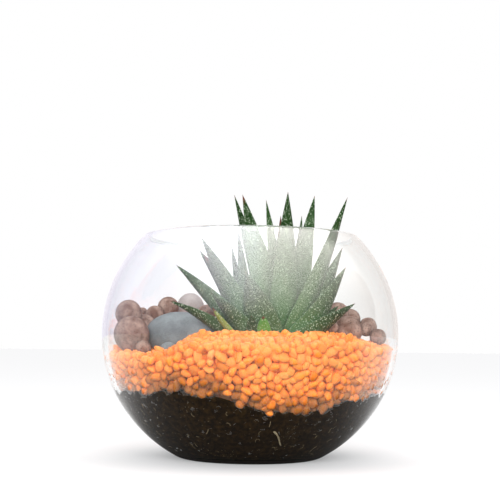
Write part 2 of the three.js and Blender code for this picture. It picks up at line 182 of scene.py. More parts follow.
def around(radius: Numbers, turns: Numbers) -> tuple[np.ndarray, np.ndarray]:
    """Places across and in depth, at a radius in each direction."""
    return radius * np.cos(turns), radius * np.sin(turns)


def curve(corners: Sequence[Sequence[float]], shares: np.ndarray) -> np.ndarray:
    """Points along a Bezier curve.

    Args:
        corners: Its start, its two handles and its end.
        shares: How far along it each point lies.

    Returns:
        One point for each share.
    """
    a, b, c, d = [np.array(corner, float) for corner in corners]
    share = shares[:, None]
    rest = 1 - share
    return rest**3 * a + 3 * rest**2 * share * b + 3 * rest * share**2 * c + share**3 * d


def lumps(points: np.ndarray, size: float, seed: float) -> np.ndarray:
    """Smooth noise at some points.

    Args:
        points: Places in millimetres.
        size: Size of one lump in millimetres.
        seed: Moves the pattern, so that two pieces differ.

    Returns:
        Values from about -1 to 1.
    """
    shift = Vector((seed * 17.3, seed * 5.1, seed * 9.7))
    return np.array([noise.noise(Vector(point) / size + shift) for point in points])


def turned(points: np.ndarray, spin: np.ndarray) -> np.ndarray:
    """Turns points by a unit quaternion.

    Args:
        points: The points to turn.
        spin: The quaternion, real part first.

    Returns:
        The turned points.
    """
    real, axis = spin[0], spin[1:]
    across = np.cross(axis, points)
    return points + 2 * (real * across + np.cross(axis, across))


def unit_of(vector: np.ndarray) -> np.ndarray:
    """The vector at length 1."""
    return vector / np.linalg.norm(vector)


# ------------------------------------------------------------------ meshes
@dataclass
class Skin:
    """Points in millimetres, faces, and values that the materials read at each point."""

    points: np.ndarray
    faces: Faces
    values: dict[str, np.ndarray]

    def piece(self, name: str, finish: Material, slot: str | None, *nodes: str) -> bpy.types.Object:
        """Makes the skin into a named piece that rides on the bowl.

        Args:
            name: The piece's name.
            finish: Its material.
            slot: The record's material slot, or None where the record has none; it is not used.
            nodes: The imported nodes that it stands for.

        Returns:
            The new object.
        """
        mesh = bpy.data.meshes.new(name)
        mesh.from_pydata((self.points * MM).tolist(), [], self.faces)
        mesh.polygons.foreach_set("use_smooth", [True] * len(mesh.polygons))
        for key, numbers in self.values.items():
            layer = mesh.attributes.new(key, "FLOAT", "POINT")
            layer.data.foreach_set("value", np.asarray(numbers, np.float32))
        mesh.materials.append(finish)
        mesh.update()
        made = bpy.data.objects.new(name, mesh)
        bpy.context.scene.collection.objects.link(made)
        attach(made, BODY)
        if nodes:
            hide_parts(*nodes)
        LOG.info("%s: %d faces", name, len(self.faces))
        return made


def joined(skins: Sequence[Skin]) -> Skin:
    """Puts several skins into one.

    Args:
        skins: Skins with the same values.

    Returns:
        One skin with all their points and faces.
    """
    faces: Faces = []
    start = 0
    for skin in skins:
        faces += [tuple(corner + start for corner in face) for face in skin.faces]
        start += len(skin.points)
    values = {key: np.concatenate([skin.values[key] for skin in skins]) for key in skins[0].values}
    return Skin(np.concatenate([skin.points for skin in skins]), faces, values)


def ringed(rings: Sequence[np.ndarray], first: Sequence[float], last: Sequence[float]) -> Skin:
    """Joins rings of points into one closed skin.

    Args:
        rings: Rings with the same number of points, each running counter-clockwise seen from the
            far end.
        first: The point that closes the first ring.
        last: The point that closes the last ring.

    Returns:
        A skin of quads with a fan of triangles at each end.
    """
    stack = np.array(rings)
    count, sides, _ = stack.shape
    points = np.concatenate([stack.reshape(-1, 3), [first], [last]])
    low, high = count * sides, count * sides + 1
    faces: Faces = []
    for side in range(sides):
        beside = (side + 1) % sides
        faces.append((low, beside, side))
        for ring in range(count - 1):
            here, above = ring * sides, (ring + 1) * sides
            faces.append((here + side, here + beside, above + beside, above + side))
        faces.append((high, (count - 1) * sides + side, (count - 1) * sides + beside))
    return Skin(points, faces, {})


def lathe(profile: Sequence[Sequence[float]], sides: int) -> Skin:
    """Turns a profile about the bowl's axis.

    Args:
        profile: Radius and height, from the axis round to the axis, bottom first.
        sides: How many columns the skin has.

    Returns:
        A closed skin.
    """
    turns = round_turn(sides)
    rings = [
        np.stack([*around(radius, turns), np.full(sides, float(z))], 1)
        for radius, z in profile[1:-1]
    ]
    return ringed(rings, [0, 0, profile[0][1]], [0, 0, profile[-1][1]])


def ball(detail: int) -> tuple[np.ndarray, Faces]:
    """A round ball of triangles of one size.

    Args:
        detail: How many times its faces are split; 2 gives 80 of them.

    Returns:
        Its points on the unit sphere and its faces.
    """
    made = bmesh.new()
    bmesh.ops.create_icosphere(made, subdivisions=detail, radius=1)
    points = np.array([tuple(corner.co) for corner in made.verts])
    faces = [tuple(corner.index for corner in face.verts) for face in made.faces]
    made.free()
    return points, faces


# ------------------------------------------------------------------ finishes
ADD, LENGTH, MAXIMUM, MULTIPLY, MULTIPLY_ADD, GREATER_THAN = [
    {"operation": name}
    for name in ("ADD", "LENGTH", "MAXIMUM", "MULTIPLY", "MULTIPLY_ADD", "GREATER_THAN")
]
EASED = {"interpolation_type": "SMOOTHSTEP"}
COLOURS = {"data_type": "RGBA"}


def scale_of(size_mm: float) -> float:
    """The scale of a pattern whose lumps or cells have a real size."""
    return 1 / (size_mm * MM)


def set_stops(ramp: Node, stops: Sequence[tuple[float, str]]) -> None:
    """Gives a colour ramp its stops.

    Args:
        ramp: The ramp node.
        stops: Each stop's place and sRGB hex colour.
    """
    elements = ramp.color_ramp.elements
    while len(elements) < len(stops):
        elements.new(0.5)
    for element, (place, colour) in zip(elements, stops, strict=True):
        element.position = place
        element.color = linear(colour)


@dataclass
class Paint:
    """A node tree under construction and the one function that adds a node to it."""

    tree: bpy.types.NodeTree
    made: Material | None = None

    @classmethod
    def start(cls, name: str) -> "Paint":
        """Begins a material with an empty node tree.

        Args:
            name: The material's name.

        Returns:
            Its paint.
        """
        made = bpy.data.materials.new(name)
        made.use_nodes = True
        made.node_tree.nodes.clear()
        return cls(made.node_tree, made)

    def add(self, kind: str, settings: dict | None = None, **inputs: object) -> Node:
        """Adds one node with its settings and its links.

        Args:
            kind: The node's type without its "ShaderNode" prefix.
            settings: The node's own properties, with the stops of a colour ramp under "stops".
            inputs: Sockets by name, with _ for a space, or by number as i0, i1; each is given a
                value, the socket that feeds it or the node whose first output feeds it.

        Returns:
            The new node.
        """
        node = self.tree.nodes.new("ShaderNode" + kind)
        for key, value in (settings or {}).items():
            if key == "stops":
                set_stops(node, value)
            else:
                setattr(node, key, value)
        for key, value in inputs.items():
            by_number = key[0] == "i" and key[1:].isdigit()
            socket = node.inputs[int(key[1:]) if by_number else key.replace("_", " ")]
            if isinstance(value, Node):
                value = value.outputs[0]
            if isinstance(value, Socket):
                self.tree.links.new(value, socket)
            else:
                socket.default_value = value
        return node

    def close(self, shader: Node) -> Material | None:
        """Links the shader to the output and returns the material."""
        self.add("OutputMaterial", Surface=shader)
        return self.made


@dataclass(frozen=True)
class BlownGlass:
    """Soda-lime glass, blown and fire-polished: clear, with a hard mirror and a faint cool tint."""

    tint: str = "fbfdfd"
    shade: str = "fafcfc"  # of the light that has fallen through it
    ior: float = 1.5
    roughness: float = 0.0
    bounces: float = 4.5  # light held in the rim for longer comes out, so that the rim isn't black

    def material(self) -> Material:
        """Makes glass that lets the light of the room through to what it holds.

        Returns:
            The finish.
        """
        paint = Paint.start("blown_glass")
        glass = paint.add(
            "BsdfPrincipled",
            Base_Color=linear(self.tint),
            Roughness=self.roughness,
            IOR=self.ior,
            Transmission_Weight=1.0,
        )
        clear = paint.add("BsdfTransparent", Color=linear(self.shade))
        path = paint.add("LightPath").outputs
        trapped = paint.add("Math", GREATER_THAN, i0=path["Ray Depth"], i1=self.bounces)
        passed = paint.add("Math", MAXIMUM, i0=path["Is Diffuse Ray"], i1=trapped)
        seen = paint.add("MixShader", i0=passed, i1=glass, i2=clear)
        return paint.close(paint.add("MixShader", i0=path["Is Shadow Ray"], i1=seen, i2=clear))


@dataclass(frozen=True)
class PottingSoil:
    """Damp peat soil: nearly black, crumbly, with paler dry crumbs and a soft low shine."""

    wet: str = "120a04"
    dry: str = "37270f"
    crumb_mm: float = 1.3
    grit_mm: float = 0.35
    roughness: float = 0.78
    shine: float = 0.1

    def material(self) -> Material:
        """Makes the crumbs with two scales of noise in colour and height.

        Returns:
            The finish.
        """
        paint = Paint.start("potting_soil")
        place = paint.add("TexCoord").outputs["Object"]
        scale = scale_of(self.crumb_mm * 2)
        crumbs = paint.add("TexNoise", Vector=place, Scale=scale, Detail=5.0, Roughness=0.65)
        fine = paint.add("TexNoise", Vector=place, Scale=scale_of(self.grit_mm), Detail=3.0)
        colour = paint.add("ValToRGB", {"stops": ((0.42, self.wet), (0.78, self.dry))}, Fac=crumbs)
        coarse = paint.add("Bump", Strength=0.9, Distance=0.5 * MM, Height=crumbs)
        both = paint.add("Bump", Strength=0.5, Distance=0.12 * MM, Height=fine, Normal=coarse)
        soil = paint.add(
            "BsdfPrincipled",
            Base_Color=colour,
            Roughness=self.roughness,
            Specular_IOR_Level=self.shine,
            Normal=both,
        )
        return paint.close(soil)


@dataclass(frozen=True)
class DyedGravel:
    """Quartz gravel dyed orange and tumbled: waxy, each grain of its own depth of colour."""

    shades: tuple[tuple[float, str], ...] = (
        (0.0, "754a22"),
        (0.1, "ac6526"),
        (0.22, "dc7b2a"),
        (0.4, "ff923c"),
        (0.75, "ff984c"),
        (1.0, "ffb674"),
    )
    crystal_mm: float = 1.1
    mottle: float = 0.16
    roughness: float = 0.46
    shine: float = 0.4
    glow: float = 0.45
    glow_mm: float = 2.2
    glow_reach: tuple[float, float, float] = (1.0, 0.35, 0.12)

    def material(self) -> Material:
        """Reads each grain's own tint and mottles it at the scale of the quartz crystals.

        Returns:
            The finish.
        """
        paint = Paint.start("dyed_gravel")
        place = paint.add("TexCoord").outputs["Object"]
        tint = paint.add("Attribute", {"attribute_name": "tint"}).outputs["Fac"]
        mottle = paint.add("TexNoise", Vector=place, Scale=scale_of(self.crystal_mm), Detail=3.0)
        moved = paint.add("Math", MULTIPLY_ADD, i0=mottle, i1=self.mottle, i2=tint)
        grain = paint.add(
            "BsdfPrincipled",
            Base_Color=paint.add("ValToRGB", {"stops": self.shades}, Fac=moved),
            Roughness=self.roughness,
            Specular_IOR_Level=self.shine,
            Subsurface_Weight=self.glow,
            Subsurface_Radius=self.glow_reach,
            Subsurface_Scale=self.glow_mm * MM,
            Normal=paint.add("Bump", Strength=0.4, Distance=0.15 * MM, Height=mottle),
        )
        return paint.close(grain)


@dataclass(frozen=True)
class FiredClay:
    """Expanded clay, kiln-fired: matt brown, finely pitted, dusty where it has rubbed."""

    body: str = "68493d"
    dust: str = "a1867a"
    pit: str = "3d2b24"
    dust_mm: float = 5.0
    pit_mm: float = 1.3  # coarser than the real pits, so that they show
    grit_mm: float = 0.5
    roughness: float = 0.9
    shine: float = 0.25

    def material(self) -> Material:
        """Makes pits with small cells and the dust with broad noise.

        Returns:
            The finish.
        """
        paint = Paint.start("fired_clay")
        place = paint.add("TexCoord").outputs["Object"]
        broad = paint.add("TexNoise", Vector=place, Scale=scale_of(self.dust_mm), Detail=4.0)
        dusty = paint.add("ValToRGB", {"stops": ((0.34, self.body), (0.68, self.dust))}, Fac=broad)
        cells = paint.add("TexVoronoi", Vector=place, Scale=scale_of(self.pit_mm), Randomness=1.0)
        depth = cells.outputs["Distance"]
        pits = paint.add("MapRange", EASED, Value=depth, From_Min=0.12, From_Max=0.34)
        pitted = paint.add("Mix", COLOURS, i0=pits, i6=linear(self.pit), i7=dusty)
        fine = paint.add("TexNoise", Vector=place, Scale=scale_of(self.grit_mm), Detail=3.0)
        low = paint.add("Bump", Strength=0.5, Distance=0.2 * MM, Height=pits)
        clay = paint.add(
            "BsdfPrincipled",
            Base_Color=pitted.outputs[2],
            Roughness=self.roughness,
            Specular_IOR_Level=self.shine,
            Normal=paint.add("Bump", Strength=0.4, Distance=0.12 * MM, Height=fine, Normal=low),
        )
        return paint.close(clay)


class StoneKind(Enum):
    """The stones in the bowl: name of the finish, ground colour, veil colour, speck colour."""

    BASALT = ("basalt_pebble", "626669", "7b8082", "35383a")
    GNEISS = ("gneiss_pebble", "968986", "b0a5a2", "544a4b")


@dataclass(frozen=True)
class RiverStone:
    """Water-worn pebble: matt and silky, finely speckled by its minerals."""

    kind: StoneKind
    veil_mm: float = 9.0
    speck_mm: float = 0.8
    roughness: float = 0.62
    shine: float = 0.4

    def material(self) -> Material:
        """Mixes two broad shades with fine dark mineral specks.

        Returns:
            The finish.
        """
        name, ground, veil, speck = self.kind.value
        paint = Paint.start(name)
        place = paint.add("TexCoord").outputs["Object"]
        broad, small = scale_of(self.veil_mm), scale_of(self.speck_mm)
        cloud = paint.add("TexNoise", Vector=place, Scale=broad, Detail=5.0, Roughness=0.6)
        fine = paint.add("TexNoise", Vector=place, Scale=small, Detail=4.0, Roughness=0.7)
        colour = paint.add("ValToRGB", {"stops": ((0.35, ground), (0.68, veil))}, Fac=cloud)
        specks = paint.add("MapRange", Value=fine, From_Min=0.56, From_Max=0.7, To_Max=0.7)
        specked = paint.add("Mix", COLOURS, i0=specks, i6=colour, i7=linear(speck))
        stone = paint.add(
            "BsdfPrincipled",
            Base_Color=specked.outputs[2],
            Roughness=self.roughness,
            Specular_IOR_Level=self.shine,
            Normal=paint.add("Bump", Strength=0.3, Distance=0.12 * MM, Height=fine),
        )
        return paint.close(stone)


class LeafAge(Enum):
    """How old a leaf is: name of the finish, its dark and light green, and its margin."""

    GROWN = ("grown_leaf", "0f2909", "4a6640", "7d9373")
    YOUNG = ("young_leaf", "4b8738", "79ae58", "c4d8a0")
    FADING = ("fading_leaf", "758a3c", "a0b062", "c6cf98")


@dataclass(frozen=True)
class LeafSkin:
    """Succulent skin: fleshy, dotted with wax, with a thin pale margin and a dry brown tip."""

    age: LeafAge
    dry: str = "5a2f22"
    wax: str = "b6c5ad"
    mottle_mm: float = 7.0
    wart_mm: float = 1.15  # drawn a little coarser than the real warts, so that they show
    grain_mm: float = 0.6
    roughness: float = 0.55
    shine: float = 0.12

    def material(self) -> Material:
        """Reads where each point lies on its leaf: how far up, how near the edge, how dry.

        Returns:
            The finish.
        """
        name, dark, light, margin = self.age.value
        paint = Paint.start(name)
        place = paint.add("TexCoord").outputs["Object"]
        up, edge, dried, tone = [
            paint.add("Attribute", {"attribute_name": value}).outputs["Fac"]
            for value in ("along", "edge", "dry", "tone")
        ]
        mottle = paint.add("TexNoise", Vector=place, Scale=scale_of(self.mottle_mm), Detail=4.0)
        own = paint.add("Math", MULTIPLY_ADD, i0=mottle, i1=0.5, i2=tone)
        # painted light: the green is painted paler towards the leaf's foot, to lift the shade low
        # down among the leaves
        painted_light_at_foot = {"From_Min": 0.05, "From_Max": 0.8, "To_Min": 0.95, "To_Max": 0.0}
        depth = paint.add("Math", ADD, i0=own, i1=paint.add("MapRange", Value=up, **painted_light_at_foot))
        green = paint.add("ValToRGB", {"stops": ((0.1, dark), (0.9, light))}, Fac=depth)
        cells = paint.add("TexVoronoi", Vector=place, Scale=scale_of(self.wart_mm), Randomness=1.0)
        size = paint.add("Math", MULTIPLY_ADD, i0=cells.outputs["Color"], i1=0.18, i2=0.26)
        away = cells.outputs["Distance"]
        wart = paint.add("MapRange", Value=away, From_Min=size, From_Max=0.18)
        waxier_tip = {"From_Min": 0.15, "From_Max": 0.45, "To_Min": 0.42, "To_Max": 0.9}
        waxed = paint.add("MapRange", Value=up, **waxier_tip)
        shown = paint.add("Math", MULTIPLY, i0=wart, i1=waxed)
        dotted = paint.add("Mix", COLOURS, i0=shown, i6=green, i7=linear(self.wax)).outputs[2]
        rim = paint.add("MapRange", Value=edge, From_Min=0.92, From_Max=0.99, To_Max=0.35)
        rimmed = paint.add("Mix", COLOURS, i0=rim, i6=dotted, i7=linear(margin)).outputs[2]
        brown = paint.add("Mix", COLOURS, i0=dried, i6=rimmed, i7=linear(self.dry))
        fine = paint.add("TexNoise", Vector=place, Scale=scale_of(self.grain_mm), Detail=2.0)
        raised = paint.add("Bump", Strength=0.6, Distance=0.2 * MM, Height=wart)
        leaf = paint.add(
            "BsdfPrincipled",
            Base_Color=brown.outputs[2],
            Roughness=self.roughness,
            Specular_IOR_Level=self.shine,
            Normal=paint.add("Bump", Strength=0.25, Distance=0.1 * MM, Height=fine, Normal=raised),
        )
        return paint.close(leaf)


@dataclass(frozen=True)
class PlainNatural:
    """Small dry bits such as a wart of wax, a grain of sand or a twig: matt, faintly mottled."""

    name: str
    dark: str
    light: str
    mottle_mm: float
    roughness: float = 0.7

    def material(self) -> Material:
        """Mottles two near shades.

        Returns:
            The finish.
        """
        paint = Paint.start(self.name)
        place = paint.add("TexCoord").outputs["Object"]
        mottle = paint.add("TexNoise", Vector=place, Scale=scale_of(self.mottle_mm), Detail=3.0)
        shades = {"stops": ((0.35, self.dark), (0.65, self.light))}
        bit = paint.add(
            "BsdfPrincipled",
            Base_Color=paint.add("ValToRGB", shades, Fac=mottle),
            Roughness=self.roughness,
            Normal=paint.add("Bump", Strength=0.3, Distance=0.1 * MM, Height=mottle),
        )
        return paint.close(bit)


@dataclass(frozen=True)
class WhiteSweep:
    """Matt white paper: bright to the eye, but dim where the glass and the planting catch it."""

    lit: str = "dcdcdd"
    dim: str = "4c4b4a"
    glow: float = 0.14
    painted_glow: float = 0.9

    def material(self) -> Material:
        """Tells the eye's light from the light that the bowl mirrors, which is a painted glow,
        brighter behind the bowl and with a painted shadow near its foot.

        Returns:
            The finish.
        """
        paint = Paint.start("white_sweep")
        white = linear("ffffff")
        matt = paint.add("BsdfDiffuse", Color=linear(self.lit), Roughness=0.0)
        glow = paint.add("Emission", Color=white, Strength=self.glow)
        dim = paint.add("BsdfDiffuse", Color=linear(self.dim), Roughness=0.0)
        place = paint.add("TexCoord").outputs["Object"]
        parts = paint.add("SeparateXYZ", Vector=place).outputs
        # painted light and shadow: the floor that the glass mirrors glows, brighter behind the bowl
        # and fading out near its foot, where the floor would lie in shade
        behind = {"From_Min": -0.1, "From_Max": 0.0, "To_Max": self.painted_glow}
        far = paint.add("MapRange", EASED, Value=parts["Y"], **behind)
        flat = paint.add("CombineXYZ", X=parts["X"], Y=parts["Y"])
        away = paint.add("VectorMath", LENGTH, i0=flat).outputs["Value"]
        clear = paint.add("MapRange", EASED, Value=away, From_Min=0.04, From_Max=0.16)
        strength = paint.add("Math", MULTIPLY, i0=far, i1=clear)
        painted_glow = paint.add("Emission", Color=white, Strength=strength)
        path = paint.add("LightPath").outputs
        lit = paint.add("AddShader", i0=matt, i1=glow)
        mirror = paint.add("AddShader", i0=dim, i1=painted_glow)
        plain = paint.add("MixShader", i0=path["Is Diffuse Ray"], i1=lit, i2=dim)
        seen = paint.add("MixShader", i0=path["Is Reflection Ray"], i1=plain, i2=mirror)
        return paint.close(seen)


# ------------------------------------------------------------------ the bowl
def ahead(line: np.ndarray, reach: float) -> np.ndarray:
    """A point straight on from the end of a line."""
    return line[-1] + unit_of(line[-1] - line[-2]) * reach


@dataclass
class Bowl:
    """The blown bowl: an ellipsoid cut off at the mouth and flattened into a foot."""

    sides: int = 224
    rows: int = 90
    rim_start: float = 133.5
    rim_handle: float = 2.8
    rim_steps: int = 14
    foot_start: float = 1.5
    foot_inset: float = 2.5
    foot_handle: float = 1.6
    floor_start: float = 5.7
    floor_inset: float = 3.0
    floor_handle: float = 1.8
    heel_handle: float = 1.3
    heel_steps: int = 8

    def wall(self, low: float, high: float, inset: float) -> np.ndarray:
        """Points up one face of the wall, spaced evenly round its curve.

        Args:
            low: Height of the first point.
            high: Height of the last point.
            inset: How far the face lies inside the outer one.

        Returns:
            Radius and height of each point.
        """
        below, above = BOWL_HALF_DEPTH - inset, BOWL_HALF_HEIGHT - inset
        ends = math.asin((low - BOWL_MIDDLE) / below), math.asin((high - BOWL_MIDDLE) / above)
        turns = np.linspace(*ends, self.rows)
        heights = BOWL_MIDDLE + np.where(turns < 0, below, above) * np.sin(turns)
        return np.stack([bowl_radius(heights, inset), heights], 1)

    def profile(self) -> np.ndarray:
        """The outline of the glass.

        Returns:
            Radius and height, from the axis under the foot round to the axis on its floor.
        """
        outer = self.wall(self.foot_start, self.rim_start, 0.0)
        inner = self.wall(self.floor_start, self.rim_start, WALL)[::-1]
        foot = (float(bowl_radius(0.0)) - self.foot_inset, 0.0)
        floor = (float(bowl_radius(FOOT_THICKNESS, WALL)) - self.floor_inset, FOOT_THICKNESS)
        turns = np.arange(1, self.heel_steps + 1) / self.heel_steps
        lip = np.arange(1, self.rim_steps + 1) / self.rim_steps
        handles = ahead(outer, self.rim_handle), ahead(inner[::-1], self.rim_handle)
        rim = curve([outer[-1], *handles, inner[0]], lip)
        under_heel = (foot[0] + self.foot_handle, 0.0)
        heel = curve([foot, under_heel, ahead(outer[::-1], self.heel_handle), outer[0]], turns)
        over_heel = (floor[0] + self.floor_handle, FOOT_THICKNESS)
        hollow = curve([inner[-1], ahead(inner, self.heel_handle), over_heel, floor], turns)
        under = [(foot[0] * share, 0.0) for share in (0.5, 0.97)]
        inside = [(floor[0] * share, FOOT_THICKNESS) for share in (0.97, 0.5)]
        glass = [*under, foot, *heel, *outer[1:], *rim, *inner[1:], *hollow, *inside]
        return np.array([(0.0, 0.0), *glass, (0.0, FOOT_THICKNESS)])

    def dress(self) -> None:
        """Turns the outline into the bowl and gives it its glass."""
        blown = lathe(self.profile(), self.sides)
        blown.piece("blown_glass_bowl", BlownGlass().material(), "clear_glass", "glass_bowl")


# ------------------------------------------------------------------ soil
@dataclass
class SoilBed:
    """Damp soil pressed against the glass, with pale sand, root fibres and a bit of twig in it."""

    sides: int = 640
    rows: int = 62
    crowding: float = 0.8
    rings: int = 26
    first_guess: float = 80.0
    guesses: int = 8
    contact: float = 0.15
    floor: float = FOOT_THICKNESS - 0.1
    floor_rings: tuple[float, ...] = (0.3, 0.7, 0.94)
    first_row: float = 0.8
    crumb: float = 2.6
    crumb_depth: float = 1.0
    fine_crumb: float = 1.1
    fine_share: float = 0.6
    crumb_start: float = 0.38
    dent: float = 3.4
    dent_reach: float = 1.04
    dent_slope: float = 0.2
    specks: int = 760
    speck_least: float = 0.13
    speck_more: float = 0.16
    speck_stretch: tuple[float, float] = (0.6, 1.2)
    speck_low: float = 7
    speck_margin: float = 12.5
    clusters: int = 26
    clustered: float = 0.6
    cluster_spread: tuple[float, float] = (0.06, 0.08)
    threads: int = 70
    thread_length: tuple[float, float] = (1.6, 4.6)
    thread_thickness: tuple[float, float] = (0.09, 0.17)
    thread_curl: float = 0.28
    thread_low: float = 8
    thread_margin: float = 16
    thread_steps: int = 8
    twig_ends: tuple[tuple[float, float], ...] = ((13.6, 21.6), (18.2, 13.4))
    twig_lean: float = 29.0
    twig_thickness: float = 0.62
    twig_taper: float = 0.3
    twig_knots: float = 0.08
    twig_bend: float = 0.6
    twig_steps: int = 14
    seed: int = 5

    def glass(self, z: Numbers) -> Numbers:
        """Radius of the soil where it lies against the glass."""
        return bowl_radius(z, WALL - self.contact)

    def edge(self, turns: Numbers) -> tuple[np.ndarray, np.ndarray]:
        """Where the top of the soil meets the glass.

        Args:
            turns: Directions round the bowl.

        Returns:
            Radii and heights there.
        """
        radius = np.full_like(turns, self.first_guess)
        for _ in range(self.guesses):  # each comes nearer to where the two surfaces meet
            height = soil_top(*around(radius, turns))
            radius = self.glass(height)
        return radius, height

    def build(self, middles: np.ndarray, radii: np.ndarray) -> Skin:
        """Makes the crumbly body of the soil, pushed in wherever a grain lies against the glass.

        Args:
            middles: The middles of the grains against the glass.
            radii: Their radii.

        Returns:
            The soil's closed skin.
        """
        spins = np.arctan2(middles[:, 1], middles[:, 0])
        turns = round_turn(self.sides)
        radius, height = self.edge(turns)
        low = self.floor + self.first_row
        up = height - self.floor - self.first_row
        rings = []
        for share in self.floor_rings:
            x, y = around(float(self.glass(self.floor)) * share, turns)
            rings.append(np.stack([x, y, np.full_like(turns, self.floor)], 1))
        for row in range(self.rows):
            z = low + up * (row / (self.rows - 1)) ** self.crowding
            wall = self.glass(z)
            here = np.stack([*around(wall, turns), z], 1)
            coarse, fine = lumps(here, self.crumb, 1), lumps(here, self.fine_crumb, 2)
            deep = np.clip(coarse + self.fine_share * fine - self.crumb_start, 0, 1)
            arcs = np.mod(turns[:, None] - spins + math.pi, FULL_TURN) - math.pi
            apart = np.hypot(arcs * wall[:, None], z[:, None] - middles[:, 2]) / radii
            pressed = self.dent * smooth(self.dent_reach - apart.min(1), 0, self.dent_slope)
            wall = wall - np.maximum(self.crumb_depth * deep, pressed)
            rings.append(np.stack([*around(wall, turns), z], 1))
        for ring in range(1, self.rings):
            x, y = around((radius - self.dent) * (1 - ring / self.rings), turns)
            rings.append(np.stack([x, y, soil_top(x, y)], 1))
        return ringed(rings, [0, 0, self.floor], [0, 0, float(soil_top(0.0, 0.0))])

    def sand(self) -> Skin:
        """Makes pale grains, single and in heaps, pressed between the soil and the glass.

        Returns:
            All the grains as one skin.
        """
        draw = np.random.default_rng(self.seed)
        unit, faces = ball(1)
        heaps = draw.random((self.clusters, 2)) * [FULL_TURN, 1]
        grains = []
        for _ in range(self.specks):
            turn, share = draw.uniform(0, FULL_TURN), draw.random() ** 0.8
            size = self.speck_least + self.speck_more * draw.random() ** 4
            if draw.random() < self.clustered:
                heap = heaps[draw.integers(self.clusters)]
                turn, share = heap + draw.normal(0, 1, 2) * self.cluster_spread
            _, height = self.edge(np.array([turn]))
            z = self.speck_low + (height[0] - self.speck_margin) * min(max(share, 0), 1)
            x, y = around(float(self.glass(z)) - size * 0.4, turn)
            spin = draw.normal(size=4)
            body = turned(unit * size * draw.uniform(*self.speck_stretch, 3), unit_of(spin))
            grains.append(Skin(body + [x, y, z], faces, {}))
        return joined(grains)

    def twig(self) -> Skin:
        """Makes the bit of pale twig that lies against the front of the glass.

        Returns:
            The twig's closed skin.
        """
        start, end = np.array(self.twig_ends)
        lean = math.radians(self.twig_lean)
        turns = round_turn(10)[:, None]
        ring = np.cos(turns) * [math.cos(lean), 0, math.sin(lean)] + np.sin(turns) * [0, 1, 0]
        rings = []
        for share in np.arange(self.twig_steps) / (self.twig_steps - 1):
            x, z = start * (1 - share) + end * share
            x += self.twig_bend * math.sin(share * 5.0)
            knot = self.twig_knots * math.sin(share * 17)
            thick = self.twig_thickness - self.twig_taper * share + knot
            y = -math.sqrt(float(self.glass(z)) ** 2 - x * x) + thick * 0.4
            rings.append(np.array([x, y, z]) + thick * ring)
        return ringed(rings, rings[0].mean(0), rings[-1].mean(0))

    def fibres(self) -> Skin:
        """Makes thin pale root fibres that curl against the glass.

        Returns:
            All the fibres as one skin.
        """
        draw = np.random.default_rng(self.seed + 1)
        turns = round_turn(5)[:, None]
        threads = []
        for _ in range(self.threads):
            turn, way = draw.uniform(0, FULL_TURN), draw.uniform(0, math.pi)
            curl = draw.normal(0, self.thread_curl)
            length = draw.uniform(*self.thread_length)
            thick = draw.uniform(*self.thread_thickness)
            _, height = self.edge(np.array([turn]))
            z = self.thread_low + (height[0] - self.thread_margin) * draw.random()
            rings = []
            for _ in range(self.thread_steps):
                radius = float(self.glass(z))
                out = np.array([math.cos(turn), math.sin(turn), 0])
                east = np.array([-math.sin(turn), math.cos(turn), 0])
                on = math.cos(way) * east + math.sin(way) * np.array([0, 0, 1])
                middle = out * (radius - 0.3 * thick) + [0, 0, z]
                ring = np.cos(turns) * out + np.sin(turns) * np.cross(on, out)
                rings.append(middle + thick * ring)
                turn += math.cos(way) * length / self.thread_steps / radius
                z += math.sin(way) * length / self.thread_steps
                way += curl
            threads.append(ringed(rings, rings[0].mean(0), rings[-1].mean(0)))
        return joined(threads)

    def dress(self, middles: np.ndarray, radii: np.ndarray) -> None:
        """Makes the soil, its sand, its fibres and the twig, each with its own finish.

        Args:
            middles: The middles of the grains against the glass.
            radii: Their radii.
        """
        earth = PottingSoil().material()
        self.build(middles, radii).piece("soil_bed", earth, "potting_soil", "soil")
        sand = PlainNatural("pale_sand", "655840", "998b6c", 0.5)
        self.sand().piece("soil_sand", sand.material(), None)
        twig = PlainNatural("dry_twig", "83745a", "b3a688", 1.0)
        self.twig().piece("soil_twig", twig.material(), None)
        fibre = PlainNatural("root_fibre", "6e5f45", "a08f6c", 1.0)
        self.fibres().piece("soil_fibres", fibre.material(), None)


# ------------------------------------------------------------------ gravel
@dataclass
class Keepout:
    """Places that no grain may lie in: points with a reach each."""

    points: np.ndarray
    reach: np.ndarray
    room: float = 0.45  # the share of a grain's radius that stays outside the reach

    def clear(self, grains: Grains) -> Grains:
        """Picks the grains that lie clear.

        Args:
            grains: Middles and radii.

        Returns:
            Those of the clear ones.
        """
        middles, radii = grains
        apart = np.linalg.norm(middles[:, None] - self.points[None], axis=2)
        free = (apart > self.reach[None] + self.room * radii[:, None]).all(1)
        return middles[free], radii[free]


